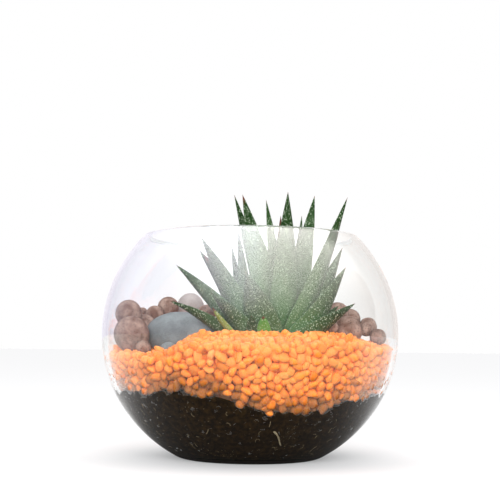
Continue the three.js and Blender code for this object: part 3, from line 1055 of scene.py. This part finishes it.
@dataclass
class GravelBed:
    """Some thousands of tumbled grains: a skin of them against the glass and one over the top."""

    pitch: float = 5.4
    filled: float = 0.72
    least: float = 2.4
    most: float = 3.7
    band_low: float = 27.0
    band_high: float = 84.0
    sheet_radius: float = 82
    near: float = 0.84
    shoves: int = 24
    shove: float = 0.3
    shapes: int = 14
    facets: int = 8
    facet_depth: tuple[float, float] = (0.62, 0.92)
    worn: int = 22
    corner: float = 1.15
    length: float = 1.24
    width: tuple[float, float] = (0.92, 1.08)
    thickness: tuple[float, float] = (0.7, 0.9)
    glass_gap: float = 0.25
    seat: float = 0.86
    sunk_least: float = 1.5
    sunk_more: float = 2.6
    tumbled: tuple[float, float] = (-0.4, 1.2)
    under_glass: tuple[tuple[float, int], ...] = ((0.0, 2), (3.4, 1))  # depth and detail
    under_top: tuple[tuple[float, int], ...] = ((0.0, 2), (3.2, 1))
    heart_depth: float = 8.6
    heart_cover: float = 8
    heart_shoulder: float = 8.5
    heart_walls: tuple[float, ...] = (0.35, 0.7, 1.0)
    heart_rings: tuple[float, ...] = (0.92, 0.8, 0.66, 0.52, 0.38, 0.24, 0.12)
    # painted shade: the heart is coloured dark brown, as the shade between the grains
    painted_shade_tint: float = 0.02
    heart_sides: int = 96
    dye: float = 0.46
    # painted shade: the grains on top are painted darker than those against the glass, to tone down
    # the light on the top
    dye_on_top_painted_shade: float = 0.24
    dye_least: float = 0.04
    dye_spread: float = 0.13
    dye_kept: float = 0.16  # a grain well above the soil keeps at least this much, so that none is black
    dye_most: float = 0.9
    loose_detail: int = 3
    darkening_reach: tuple[float, float] = (2, 21)
    loose: tuple[tuple[float, float, float, float], ...] = (
        (-26, -60, 73.6, 3.2),
        (-50.3, -56, 64.4, 3.4),
        (35, -58, 72.4, 3.1),
        (-14, -55, 73.8, 2.9),
        (20, 62, 81, 3.2),
        (-58, 40, 69, 3.2),
        (66, 38, 68, 3.2),
    )
    seed: int = 21

    def shape(self, draw: Random, unit: np.ndarray) -> np.ndarray:
        """One grain, a rounded stone with worn flat facets.

        Args:
            draw: The source of random numbers.
            unit: Points on the unit sphere.

        Returns:
            The grain's points, about 1 in radius.
        """
        planes = draw.normal(size=(self.facets, 3))
        planes /= np.linalg.norm(planes, axis=1)[:, None]
        depth = draw.uniform(*self.facet_depth, self.facets)
        lean = np.clip(unit @ planes.T, 0, None) / depth
        reach = (np.sum(lean**self.worn, axis=1) + 0.1) ** (-1 / self.worn)
        wide, flat = draw.uniform(*self.width), draw.uniform(*self.thickness)
        return unit * np.clip(reach, 0, self.corner)[:, None] * [self.length, wide, flat]

    def spread(self, draw: Random, size: tuple[float, float], wraps: bool) -> Grains:
        """Scatters grains over a flat sheet and pushes them apart.

        Args:
            draw: The source of random numbers.
            size: The sheet's width and height.
            wraps: True if its left and right edges meet.

        Returns:
            Places on the sheet and the grains' radii.
        """
        count = int(size[0] * size[1] / (self.pitch**2 * self.filled))
        places = draw.random((count, 2)) * size
        radii = draw.uniform(self.least, self.most, count)
        reach = self.near * (radii[:, None] + radii[None])
        for _ in range(self.shoves):
            gap = places[:, None] - places[None]
            if wraps:
                gap[..., 0] -= size[0] * np.round(gap[..., 0] / size[0])
            apart = np.hypot(gap[..., 0], gap[..., 1]) + 1e-6
            push = np.clip(reach - apart, 0, None) / apart
            np.fill_diagonal(push, 0)
            places += self.shove * (gap * push[..., None]).sum(1)
        return places, radii

    def band(self, draw: Random, depth: float) -> Grains:
        """Grains against the inside of the glass.

        Args:
            draw: The source of random numbers.
            depth: How far behind the glass they lie.

        Returns:
            The grains' middles and radii.
        """
        sheet = (FULL_TURN * self.sheet_radius, self.band_high - self.band_low)
        places, radii = self.spread(draw, sheet, True)
        turn, z = places[:, 0] / self.sheet_radius, self.band_low + places[:, 1]
        x, y = around(bowl_radius(z, WALL + self.glass_gap + depth) - radii * self.seat, turn)
        sunk = self.sunk_least + self.sunk_more * draw.random(len(radii)) ** 2
        keep = (z > soil_top(x, y) + radii - sunk) & (z < gravel_top(x, y) - radii + 0.4)
        return np.stack([x, y, z], 1)[keep], radii[keep]

    def cover(self, draw: Random, depth: float) -> Grains:
        """Grains over the top of the layer.

        Args:
            draw: The source of random numbers.
            depth: How far below the top they lie.

        Returns:
            The grains' middles and radii.
        """
        places, radii = self.spread(draw, (2 * BOWL_RADIUS, 2 * BOWL_RADIUS), False)
        x, y = places[:, 0] - BOWL_RADIUS, places[:, 1] - BOWL_RADIUS
        z = gravel_top(x, y) - depth - radii - draw.uniform(*self.tumbled, len(radii))
        keep = np.hypot(x, y) < bowl_radius(z, WALL + 0.3) - radii
        return np.stack([x, y, z], 1)[keep], radii[keep]

    def grains(self, draw: Random, where: Grains, detail: int, dye: float) -> Skin:
        """Makes the grains' skins.

        Args:
            draw: The source of random numbers.
            where: Their middles and radii.
            detail: How finely each is rounded.
            dye: How much brighter the grains are far above the soil; the top layer is given less,
                as painted shade.

        Returns:
            One skin with a value, tint, for each grain's depth of colour.
        """
        middles, radii = where
        unit, faces = ball(detail)
        moulds = [self.shape(draw, unit) for _ in range(self.shapes)]
        count, corners = len(middles), len(unit)
        points = np.empty((count, corners, 3))
        spins = draw.normal(size=(count, 4))
        spins /= np.linalg.norm(spins, axis=1)[:, None]
        for i in range(count):
            points[i] = turned(moulds[i % self.shapes], spins[i]) * radii[i] + middles[i]
        above = middles[:, 2] - soil_top(middles[:, 0], middles[:, 1])
        # grains are darker the nearer they lie to the soil
        above_soil_share = smooth(above, *self.darkening_reach)
        tint = self.dye_least + dye * above_soil_share + draw.normal(0, self.dye_spread, count)
        tint = np.clip(tint, self.dye_kept * above_soil_share, self.dye_most)
        shifts = (np.arange(count) * corners)[:, None, None]
        cells = (np.array(faces)[None] + shifts).reshape(-1, 3).tolist()
        tints = {"tint": np.repeat(tint, corners)}
        return Skin(points.reshape(-1, 3), [tuple(cell) for cell in cells], tints)

    def heart(self) -> Skin:
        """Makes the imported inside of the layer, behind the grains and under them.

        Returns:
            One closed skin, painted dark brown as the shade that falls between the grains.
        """
        turns = round_turn(self.heart_sides)
        rings = []
        for inset, rise in ((60, 4), (11, 3), (self.heart_depth, 6)):
            x, y = around(bowl_radius(SOIL_LEVEL, WALL + inset), turns)
            rings.append(np.stack([x, y, soil_top(x, y) - 5 + rise], 1))
        for share in self.heart_walls:
            x, y = around(bowl_radius(50 + 14 * share, WALL + self.heart_depth), turns)
            low, high = soil_top(x, y) + 1, gravel_top(x, y) - self.heart_shoulder
            rings.append(np.stack([x, y, low + (high - low) * share], 1))
        for share in self.heart_rings:
            x, y = around(bowl_radius(64.0, WALL + self.heart_depth) * share, turns)
            rings.append(np.stack([x, y, gravel_top(x, y) - self.heart_cover], 1))
        low, high = float(soil_top(0.0, 0.0)), float(gravel_top(0.0, 0.0)) - self.heart_cover
        body = ringed(rings, [0, 0, low], [0, 0, high])
        body.values["tint"] = np.full(len(body.points), self.painted_shade_tint)
        return body

    def front(self, kept_out: Keepout) -> Grains:
        """The grains that touch the glass.

        Args:
            kept_out: Where the plant, the stones and the balls are.

        Returns:
            Their middles and radii.
        """
        return kept_out.clear(self.band(np.random.default_rng(self.seed), 0.0))

    def dress(self, kept_out: Keepout) -> None:
        """Makes the gravel in two pieces, the side seen through the glass and the top.

        Args:
            kept_out: Where the plant, the stones and the balls are.
        """
        draw = np.random.default_rng(self.seed)
        finish = DyedGravel().material()
        sides, tops = [self.heart()], []
        for layers, lay, dye, made in (
            (self.under_glass, self.band, self.dye, sides),
            (self.under_top, self.cover, self.dye_on_top_painted_shade, tops),
        ):
            for depth, detail in layers:
                made.append(self.grains(draw, kept_out.clear(lay(draw, depth)), detail, dye))
        loose = np.array(self.loose)
        tops.append(self.grains(draw, (loose[:, :3], loose[:, 3]), self.loose_detail, self.dye))
        joined(sides).piece("gravel_against_glass", finish, "orange_gravel", "gravel_layer")
        joined(tops).piece("gravel_on_top", finish, "orange_gravel", "gravel_layer")


# ------------------------------------------------------------------ stones and balls
@dataclass
class ClayBalls:
    """Fired clay balls lying on the gravel; each is where its solid is."""

    left: tuple[float, ...] = (11.0, 4.6, 7.4, 4.2, 5.0, 6.0, 6.2, 7.0, 8.6)
    right: tuple[float, ...] = (9.0, 4.0, 5.4, 4.4, 6.0, 6.8, 7.1, 8.0)
    back: tuple[float, ...] = (8.5, 7.0, 9.0)
    shrink: float = 0.985
    most: float = 1.015
    swell: float = 0.035
    grit: float = 0.012

    def places(self) -> list[tuple[str, np.ndarray, float]]:
        """Finds the balls.

        Returns:
            The solid's name, middle and radius of each.
        """
        found = []
        for side, radii in (("left", self.left), ("right", self.right), ("back", self.back)):
            for number, radius in enumerate(radii, 1):
                node = f"clay_ball_{side}_{number}"
                low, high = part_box(node)
                found.append((node, np.array((low + high) / 2) / MM, radius))
        return found

    def dress(self) -> None:
        """Makes each ball a little lumpy and pitted."""
        finish = FiredClay().material()
        unit, faces = ball(5)
        for number, (node, middle, radius) in enumerate(self.places()):
            broad, fine = lumps(unit * 10, 8, number), lumps(unit * 10, 2.2, number + 40)
            swell = np.clip(1 + self.swell * broad + self.grit * fine, 0, self.most)
            points = unit * (radius * self.shrink * swell)[:, None] + middle
            Skin(points, faces, {}).piece(f"fired_{node}", finish, "fired_clay", node)


@dataclass
class Stone:
    """One water-worn stone: its solid, kind, middle, half sizes, turn and lean."""

    node: str
    slot: str
    kind: StoneKind
    middle: tuple[float, float, float]
    half: tuple[float, float, float]
    turn: float
    lean: float
    dents: float = 0.03
    dent_size: float = 0.8
    grit: float = 0.004
    grit_size: float = 0.1

    def placed(self, unit: np.ndarray) -> np.ndarray:
        """Puts points of the unit sphere on the stone.

        Args:
            unit: Points on the unit sphere.

        Returns:
            The points in millimetres.
        """
        lean, turn = math.radians(self.lean) / 2, math.radians(self.turn) / 2
        leant = np.array([math.cos(lean), 0, math.sin(lean), 0])
        spun = np.array([math.cos(turn), 0, 0, math.sin(turn)])
        return turned(turned(unit * np.array(self.half), leant), spun) + np.array(self.middle)

    def dress(self) -> None:
        """Makes the stone with slow dents, as water wears it."""
        unit, faces = ball(6 if self.half[0] > 15 else 5)
        broad, fine = lumps(unit, self.dent_size, self.half[0]), lumps(unit, self.grit_size, 3)
        wear = 1 - self.dents * np.abs(broad) - self.grit * np.abs(fine)
        skin = Skin(self.placed(unit * wear[:, None]), faces, {})
        skin.piece(f"worn_{self.node}", RiverStone(self.kind).material(), self.slot, self.node)


GREY, PALE = "grey_stone", "pale_stone"
STONES = (
    Stone("grey_river_stone", GREY, StoneKind.BASALT, (-41, 2, 73), (23.5, 15, 15), -6, 5),
    Stone("pale_river_stone", PALE, StoneKind.GNEISS, (-39.5, 46, 90), (9.8, 9, 11.8), 10, 0),
    Stone("small_grey_pebble", GREY, StoneKind.BASALT, (-48, -23, 65.5), (4.8, 4.2, 3.8), 30, 0),
)


# ------------------------------------------------------------------ the plant
@dataclass(frozen=True)
class Leaf:
    """One leaf: tip, place in the gravel, width, roll, bow, dry share, tone, age and point."""

    tip: tuple[float, float, float]
    foot: tuple[float, float]
    width: float
    roll: float = 0.0
    bow: float = 0.0
    dry: float = 0.012
    tone: float = 0.0
    age: LeafAge = LeafAge.GROWN
    point: float = 2.1  # more is blunter


INNER = (
    Leaf((22.1, -12, 161), (20.5, -3.5), 19),
    Leaf((-5.7, 5, 161.3), (18, 4.5), 19.5, -75, dry=0.03),
    Leaf((40, 18, 162.8), (24.3, 3), 17.5, 45),
    Leaf((9.2, 17, 159.8), (22, 8), 12, -45),
    Leaf((-11, 18, 162.8), (16, 8), 13.5, -50),
    Leaf((57.4, -22, 156.7), (28.6, -9), 14.5, -35),
    Leaf((18, -2.5, 147.5), (18.5, 1.8), 13, dry=0.09),
    Leaf((32.2, 24, 150.8), (27, 9.5), 11, 10),
)
MIDDLE = (
    Leaf((-3, -36, 110.5), (9, -17), 24, 20, 0.02),
    Leaf((-29.3, -28, 130.8), (3, -10), 18.5, 30),
    Leaf((-28.3, -20, 121.8), (-1, -7), 18, 30, 0.03, dry=0.05),
    Leaf((55.7, -8, 127.7), (33, -3), 17, -50),
    Leaf((56, -24, 114.3), (36, -9), 18, -30, 0.02),
    Leaf((-31.5, -4, 126), (-1, -1), 14, 25),
    Leaf((-21, 8, 115), (-3, 4), 13),
    Leaf((-8.5, 26, 142.5), (-0.5, 10), 11.5),
    Leaf((-12.8, 32, 132.6), (-2, 13), 11),
    Leaf((35, 46, 125), (23, 15), 15),
    Leaf((12, 54, 120), (12, 17), 16),
)
OUTER = (
    Leaf((-44.4, -20, 115), (-3, -6), 16.5, 40, 0.02, tone=0.1),
    Leaf((-23, -34, 98), (-2, -15), 17.5, 20, 0.04),
    Leaf((61.5, -26, 93), (37, -12), 15.5, -35, 0.02, tone=-0.1),
    Leaf((54, -4, 92.5), (34, -2), 14, -35, 0.02),
    Leaf((-47.3, -26, 93.4), (-15, -11), 14.5, 30, 0.05, tone=-0.1),
    Leaf((50, 36, 108), (33, 12), 14),
    Leaf((-22, 40, 113), (-6, 14), 14),
    Leaf((-4, 50, 106), (4, 19), 14),
)
SMALL = (
    Leaf((7.6, -33.5, 84.8), (8, -25), 9, dry=0.04, age=LeafAge.YOUNG, point=5),
    Leaf((0.8, -32, 85), (1.5, -23.5), 8.5, tone=0.1, point=5),
    Leaf((-22.5, -27, 90), (-12, -16), 7.5, dry=0.05, age=LeafAge.FADING, point=4),
)


@dataclass
class GrownLeaf:
    """A leaf on its stem, built along a curved line from the stem out to its tip."""

    name: str
    leaf: Leaf
    height: float
    out: float
    stations: int = 46
    sides: int = 26
    steps: int = 400
    crowding: float = 1.25
    belly: float = 0.4
    neck: float = 0.72
    broadest: float = 0.25
    thickness_share: float = 0.3
    tip_thickness: float = 1.0
    keel: float = 0.85
    channel: float = 0.13
    raggedness: float = 0.35
    tone: float = 0.02
    own_tone: float = 0.09
    wart_size: tuple[float, float] = (0.1, 0.2)
    wart_height: float = 0.75
    wart_root: float = 0.12
    wart_reach: tuple[float, float] = (0.12, 0.97)
    wart_thinning: float = 0.4
    wart_sides: int = 4

    def line(self) -> tuple[np.ndarray, np.ndarray, np.ndarray]:
        """The line that the leaf grows along.

        Returns:
            The curve's points, its directions, and the level direction across the leaf.
        """
        tip = np.array(self.leaf.tip, float)
        foot = np.array([*self.leaf.foot, LEAF_FOOT_HEIGHT], float)
        outward = unit_of(np.array([foot[0] - STEM_X, foot[1] - STEM_Y, 0]))
        start = np.array([STEM_X, STEM_Y, self.height]) + outward * self.out
        run = tip - foot
        across = unit_of(np.array([-run[1], run[0], 0]))
        under = unit_of(np.cross(across, run))
        belly = foot + self.belly * run - under * (self.leaf.bow * np.linalg.norm(run) * 2)
        path = curve([start, foot, belly, tip], np.linspace(0, 1, self.steps))
        pieces = np.linalg.norm(np.diff(path, axis=0), axis=1)
        length = np.concatenate([[0], np.cumsum(pieces)])
        at = self.shares() * length[-1]
        slopes = np.gradient(path, axis=0)
        spots = np.stack([np.interp(at, length, path[:, k]) for k in range(3)], 1)
        ways = np.stack([np.interp(at, length, slopes[:, k]) for k in range(3)], 1)
        return spots, ways / np.linalg.norm(ways, axis=1)[:, None], across

    def shares(self) -> np.ndarray:
        """Shares of the length at which the leaf has a ring, closer near the tip."""
        return 1 - (1 - np.linspace(0, 0.9985, self.stations)) ** self.crowding

    def half_width(self, share: np.ndarray) -> np.ndarray:
        """Half the width along the leaf, broadest at a quarter and curving in to the point."""
        belly = self.neck + 0.28 * smooth(share, 0, self.broadest)
        return self.leaf.width / 2 * belly * (1 - share**self.leaf.point)

    def section(self) -> tuple[np.ndarray, np.ndarray]:
        """The leaf's outline across: shares of the half width and heights in thicknesses.

        Returns:
            The shares and the heights, running over the keel first and back along the channel.
        """
        lower = np.linspace(-1, 1, self.sides // 2 + 1)
        lower = np.sign(lower) * (1 - (1 - np.abs(lower)) ** 1.35)
        upper = lower[-2:0:-1]
        keel = -self.keel + np.abs(lower) ** 1.9
        channel = 0.02 + self.channel * upper**2
        return np.concatenate([lower, upper]), np.concatenate([keel, channel])

    def build(self) -> Skin:
        """Makes the fleshy leaf with the values that its skin reads.

        Returns:
            The leaf's closed skin.
        """
        spots, ways, across = self.line()
        shares = self.shares()
        half = self.half_width(shares)
        full = self.leaf.width * self.thickness_share
        thick = self.tip_thickness + (full - self.tip_thickness) * (1 - shares)
        thick *= np.clip(half / 0.8, 0.15, 1)
        along_share, height_share = self.section()
        rings = []
        for i, (spot, way) in enumerate(zip(spots, ways, strict=True)):
            roll = math.radians(self.leaf.roll) * float(smooth(shares[i], 0, 0.3)) / 2
            side = turned(across[None], np.array([math.cos(roll), *(math.sin(roll) * way)]))[0]
            side = unit_of(side - way * (side @ way))
            upper = unit_of(np.cross(way, side))
            flat = np.outer(along_share * half[i], side)
            rings.append(spot + flat + np.outer(height_share * thick[i], upper))
        skin = ringed(rings, spots[0], spots[-1])
        along = np.append(np.repeat(shares, self.sides), [0, 1])
        edge = np.append(np.tile(np.abs(along_share), self.stations), [0, 1])
        ragged = self.leaf.dry * (1 + self.raggedness * lumps(skin.points, 2.0, self.leaf.width))
        dry = smooth(along, 1 - 2.2 * ragged, 1 - 0.9 * ragged)
        own = self.own_tone * math.sin(7 * self.leaf.tip[0])  # each leaf's own depth of green
        tone = np.full(len(skin.points), self.tone + own + self.leaf.tone)
        skin.values.update(along=along, edge=edge, dry=dry, tone=tone)
        return skin

    def warts(self, draw: Random, skin: Skin, spacing: float) -> Skin:
        """Small raised white warts, scattered over both faces of the leaf.

        Args:
            draw: The source of random numbers.
            skin: The leaf.
            spacing: Mean distance between two of them.

        Returns:
            The warts, as low domes that stand on the leaf.
        """
        quads = np.array([face for face in skin.faces if len(face) == 4])
        corners = skin.points[quads]
        normal = np.cross(corners[:, 2] - corners[:, 0], corners[:, 3] - corners[:, 1])
        area = np.linalg.norm(normal, axis=1) / 2
        normal /= np.maximum(2 * area, 1e-9)[:, None]
        along = skin.values["along"][quads[:, 0]]
        first, last = self.wart_reach
        shown = area * (along > first) * (along < last) * (1 - self.wart_thinning * along)
        count = int(shown.sum() / spacing**2)
        picks = draw.choice(len(quads), count, p=shown / shown.sum())
        mix = draw.random((count, 2))
        u, v = mix[:, :1], mix[:, 1:]
        weights = ((1 - u) * (1 - v), u * (1 - v), u * v, (1 - u) * v)
        spots = sum(corners[picks, at] * weight for at, weight in enumerate(weights))
        up = normal[picks]
        aside = np.cross(up, [0.3, 0.9, 0.1])
        aside /= np.linalg.norm(aside, axis=1)[:, None]
        fore = np.cross(up, aside)
        size = draw.uniform(*self.wart_size, count)
        ring = [
            spots + size[:, None] * (math.cos(turn) * aside + math.sin(turn) * fore) - 0.05 * up
            for turn in round_turn(self.wart_sides)
        ]
        crown = spots + up * (size * self.wart_height)[:, None]
        points = np.stack([*ring, crown, spots - up * self.wart_root], 1)
        faces: Faces = []
        for start in range(0, count * (self.wart_sides + 2), self.wart_sides + 2):
            top = start + self.wart_sides
            for side in range(self.wart_sides):
                here, beside = start + side, start + (side + 1) % self.wart_sides
                faces += [(here, beside, top), (beside, here, top + 1)]
        return Skin(points.reshape(-1, 3), faces, {})


@dataclass
class Rosette:
    """The succulent: four turns of leaves on a short stem that stands in the soil."""

    stem_profile: tuple[tuple[float, float], ...] = (
        (0, 28),
        (2.2, 28.2),
        (3.6, 33),
        (5.6, 48),
        (6.8, 60),
        (6.8, 68),
        (4.2, 74),
        (1.75, 75.8),
        (0, 76),
    )
    stem_sides: int = 40
    wart_spacing: float = 1.1
    seed: int = 3

    def leaves(self) -> list[GrownLeaf]:
        """Places every leaf on the stem.

        Returns:
            The leaves, inner ones first.
        """
        turns = (
            ("inner_leaf", INNER, 71.0, 0.4, 3.0),
            ("middle_leaf", MIDDLE, 68.5, 0.2, 6.5),
            ("outer_leaf", OUTER, 67.5, 0.1, 9.5),
            ("small_leaf", SMALL, 67.0, 0.0, 14.0),
        )
        return [
            GrownLeaf(f"{name}_{number + 1}", leaf, height - step * number, out)
            for name, leaves, height, step, out in turns
            for number, leaf in enumerate(leaves)
        ]

    def dress(self) -> None:
        """Makes the stem, the leaves and their white warts."""
        draw = np.random.default_rng(self.seed)
        slots = {LeafAge.GROWN: "leaf", LeafAge.YOUNG: "young_leaf", LeafAge.FADING: "fading_leaf"}
        skins = {age: LeafSkin(age).material() for age in LeafAge}
        wax = PlainNatural("leaf_wart", "748a68", "94a786", 0.8, roughness=0.5).material()
        warts = []
        for grown in self.leaves():
            skin = grown.build()
            age = grown.leaf.age
            skin.piece(f"succulent_{grown.name}", skins[age], slots[age], grown.name)
            if age is LeafAge.GROWN:
                warts.append(grown.warts(draw, skin, self.wart_spacing))
        joined(warts).piece("succulent_leaf_warts", wax, "leaf")
        stem = lathe(self.stem_profile, self.stem_sides)
        stem.points[:, :2] *= (1 + 0.05 * lumps(stem.points, 3.0, 7))[:, None]
        stem.points[:, :2] += [STEM_X, STEM_Y]
        bark = PlainNatural("plant_stem_bark", "5d6136", "8a8a58", 2.0).material()
        stem.piece("succulent_stem", bark, "stem", "plant_stem")


# ------------------------------------------------------------------ the studio
@dataclass
class Studio:
    """A white sweep under a soft overhead light, and the camera where the picture was taken.

    Its lengths are in metres.
    """

    distance: float = 0.6925
    eye: float = 0.068
    tilt_px: float = 95.0
    focal_px: float = 1130.0
    picture_px: float = 500.0
    sensor_mm: float = 36.0
    roll: float = -0.6
    floor_half: float = 12.0
    floor_drop: float = 0.0002
    overhead: float = 0.32
    overhead_lift: float = 0.3
    mirrored_overhead: float = 7.2
    mirrored_lift: float = 0.22
    behind: float = 1.18
    before: float = 0.45
    before_through: float = 0.9
    softbox_watts: float = 31.0
    softbox_size: tuple[float, float] = (1.3, 0.9)
    softbox_place: tuple[float, float, float] = (0.0, -1.35, 0.42)
    softbox_aim: tuple[float, float, float] = (0, 0, 0.07)
    walls: tuple[tuple[float, str], ...] = (
        (0.0, "b3afbd"),
        (0.2, "d6d2de"),
        (0.42, "f9f6ff"),
        (0.48, "ffffff"),
        (0.52, "ffffff"),
        (0.58, "f3eeeb"),
        (0.8, "d9d3d0"),
        (1.0, "b7b1ae"),
    )

    def camera(self) -> None:
        """Places the camera and makes it the scene's."""
        data = bpy.data.cameras.new("camera")
        data.sensor_width = self.sensor_mm
        data.lens = self.focal_px / self.picture_px * self.sensor_mm
        data.clip_start, data.clip_end = 0.01, 60
        made = bpy.data.objects.new("camera", data)
        made.location = (0, -self.distance, self.eye)
        tilt = math.atan(self.tilt_px / self.focal_px)
        made.rotation_euler = (math.pi / 2 + tilt, math.radians(self.roll), 0)
        bpy.context.scene.collection.objects.link(made)
        bpy.context.scene.camera = made

    def floor(self) -> None:
        """Lays the white sweep."""
        half = self.floor_half
        corners = [(-half, -half, 0), (half, -half, 0), (half, half, 0), (-half, half, 0)]
        mesh = bpy.data.meshes.new("floor")
        mesh.from_pydata(corners, [], [(0, 1, 2, 3)])
        mesh.materials.append(WhiteSweep().material())
        made = bpy.data.objects.new("floor", mesh)
        made.location = (0, 0, -self.floor_drop)
        bpy.context.scene.collection.objects.link(made)

    def world(self) -> None:
        """Makes the room: white behind, dim before the bowl, bright overhead, a little dark aside.

        The eye sees plain white. What the planting is lit by and what the glass mirrors each have
        a sky of their own, and the mirrored one has a wide softbox overhead, cut off at the back.
        """
        world = bpy.data.worlds.new("studio")
        world.use_nodes = True
        world.node_tree.nodes.clear()
        paint = Paint(world.node_tree)
        white = linear("ffffff")
        ways = paint.add("TexCoord").outputs["Generated"]
        across, deep, up = paint.add("SeparateXYZ", Vector=ways).outputs
        path = paint.add("LightPath").outputs
        room = {"From_Min": -0.75, "From_Max": 0.15, "To_Min": self.before, "To_Max": self.behind}
        level = paint.add("MapRange", EASED, Value=deep, **room)
        through = path["Is Transmission Ray"]
        sent = paint.add("Math", MULTIPLY, i0=through, i1=self.before_through)
        low = paint.add("Math", MAXIMUM, i0=level, i1=sent)
        side = paint.add("MapRange", Value=across, From_Min=-1.0, From_Max=1.0)
        walls = paint.add("ValToRGB", {"stops": self.walls}, Fac=side)
        left = paint.add("MapRange", EASED, Value=across, From_Min=-0.85, From_Max=-0.35)
        off = {"To_Min": 1.0, "To_Max": 0.0}
        right = paint.add("MapRange", EASED, Value=across, From_Min=0.72, From_Max=1.1, **off)
        back = paint.add("MapRange", EASED, Value=deep, From_Min=0.15, From_Max=0.55, **off)
        wide = paint.add("Math", MULTIPLY, i0=left, i1=right)
        box = paint.add("Math", MULTIPLY, i0=wide, i1=back)
        skies = []
        for lift, most, share, floor, tint in (
            (self.mirrored_lift, self.mirrored_overhead, box, low, walls),
            (self.overhead_lift, self.overhead, 1.0, level, white),
        ):
            high = paint.add("MapRange", Value=up, From_Min=lift, To_Max=most)
            strength = paint.add("Math", MULTIPLY_ADD, i0=high, i1=share, i2=floor)
            skies.append(paint.add("Background", Color=tint, Strength=strength))
        plain = paint.add("Background", Color=white, Strength=1.0)
        seen = paint.add("MixShader", i0=path["Is Diffuse Ray"], i1=skies[0], i2=skies[1])
        both = paint.add("MixShader", i0=path["Is Camera Ray"], i1=seen, i2=plain)
        paint.add("OutputWorld", Surface=both)
        world.cycles.sampling_method = "NONE"  # so that each kind of ray sees its own sky
        bpy.context.scene.world = world

    def softbox(self) -> None:
        """Hangs a wide softbox before the bowl; the glass doesn't mirror it."""
        data = bpy.data.lights.new("front_softbox", "AREA")
        data.shape = "RECTANGLE"
        data.size, data.size_y = self.softbox_size
        data.energy = self.softbox_watts
        made = bpy.data.objects.new("front_softbox", data)
        made.location = self.softbox_place
        aim = Vector(self.softbox_aim) - made.location
        made.rotation_euler = aim.to_track_quat("-Z", "Y").to_euler()
        made.visible_glossy = False
        made.visible_transmission = False
        bpy.context.scene.collection.objects.link(made)

    def dress(self) -> None:
        """Sets up the floor, the light, the camera and the way the picture is developed."""
        self.floor()
        self.world()
        self.softbox()
        self.camera()
        scene = bpy.context.scene
        scene.view_settings.view_transform = "Standard"
        scene.cycles.use_denoising = True


# ------------------------------------------------------------------ assembly
def keepout(rosette: Rosette, balls: ClayBalls) -> Keepout:
    """Collects where the leaves, balls and stones stand among the gravel.

    Args:
        rosette: The plant.
        balls: The clay balls.

    Returns:
        Points with their reach.
    """
    points, reach = [], []
    for grown in rosette.leaves():
        leaf = grown.build().points
        points.append(leaf[leaf[:, 2] < 92][::5])
        reach.append(np.full(len(points[-1]), 0.5))
    for _, middle, radius in balls.places():
        points.append(middle[None])
        reach.append(np.array([radius]))
    unit, _ = ball(3)
    for stone in STONES:
        for share, clear in ((0.95, 1.0), (0.5, 5.0)):
            points.append(stone.placed(unit * share))
            reach.append(np.full(len(unit), clear))
    return Keepout(np.concatenate(points), np.concatenate(reach))


def main() -> None:
    """Builds the terrarium in order."""
    rosette, balls = Rosette(), ClayBalls()
    gravel, kept_out = GravelBed(), keepout(rosette, balls)
    Bowl().dress()
    SoilBed().dress(*gravel.front(kept_out))
    gravel.dress(kept_out)
    balls.dress()
    for stone in STONES:
        stone.dress()
    rosette.dress()
    Studio().dress()


if __name__ == "__main__":
    main()
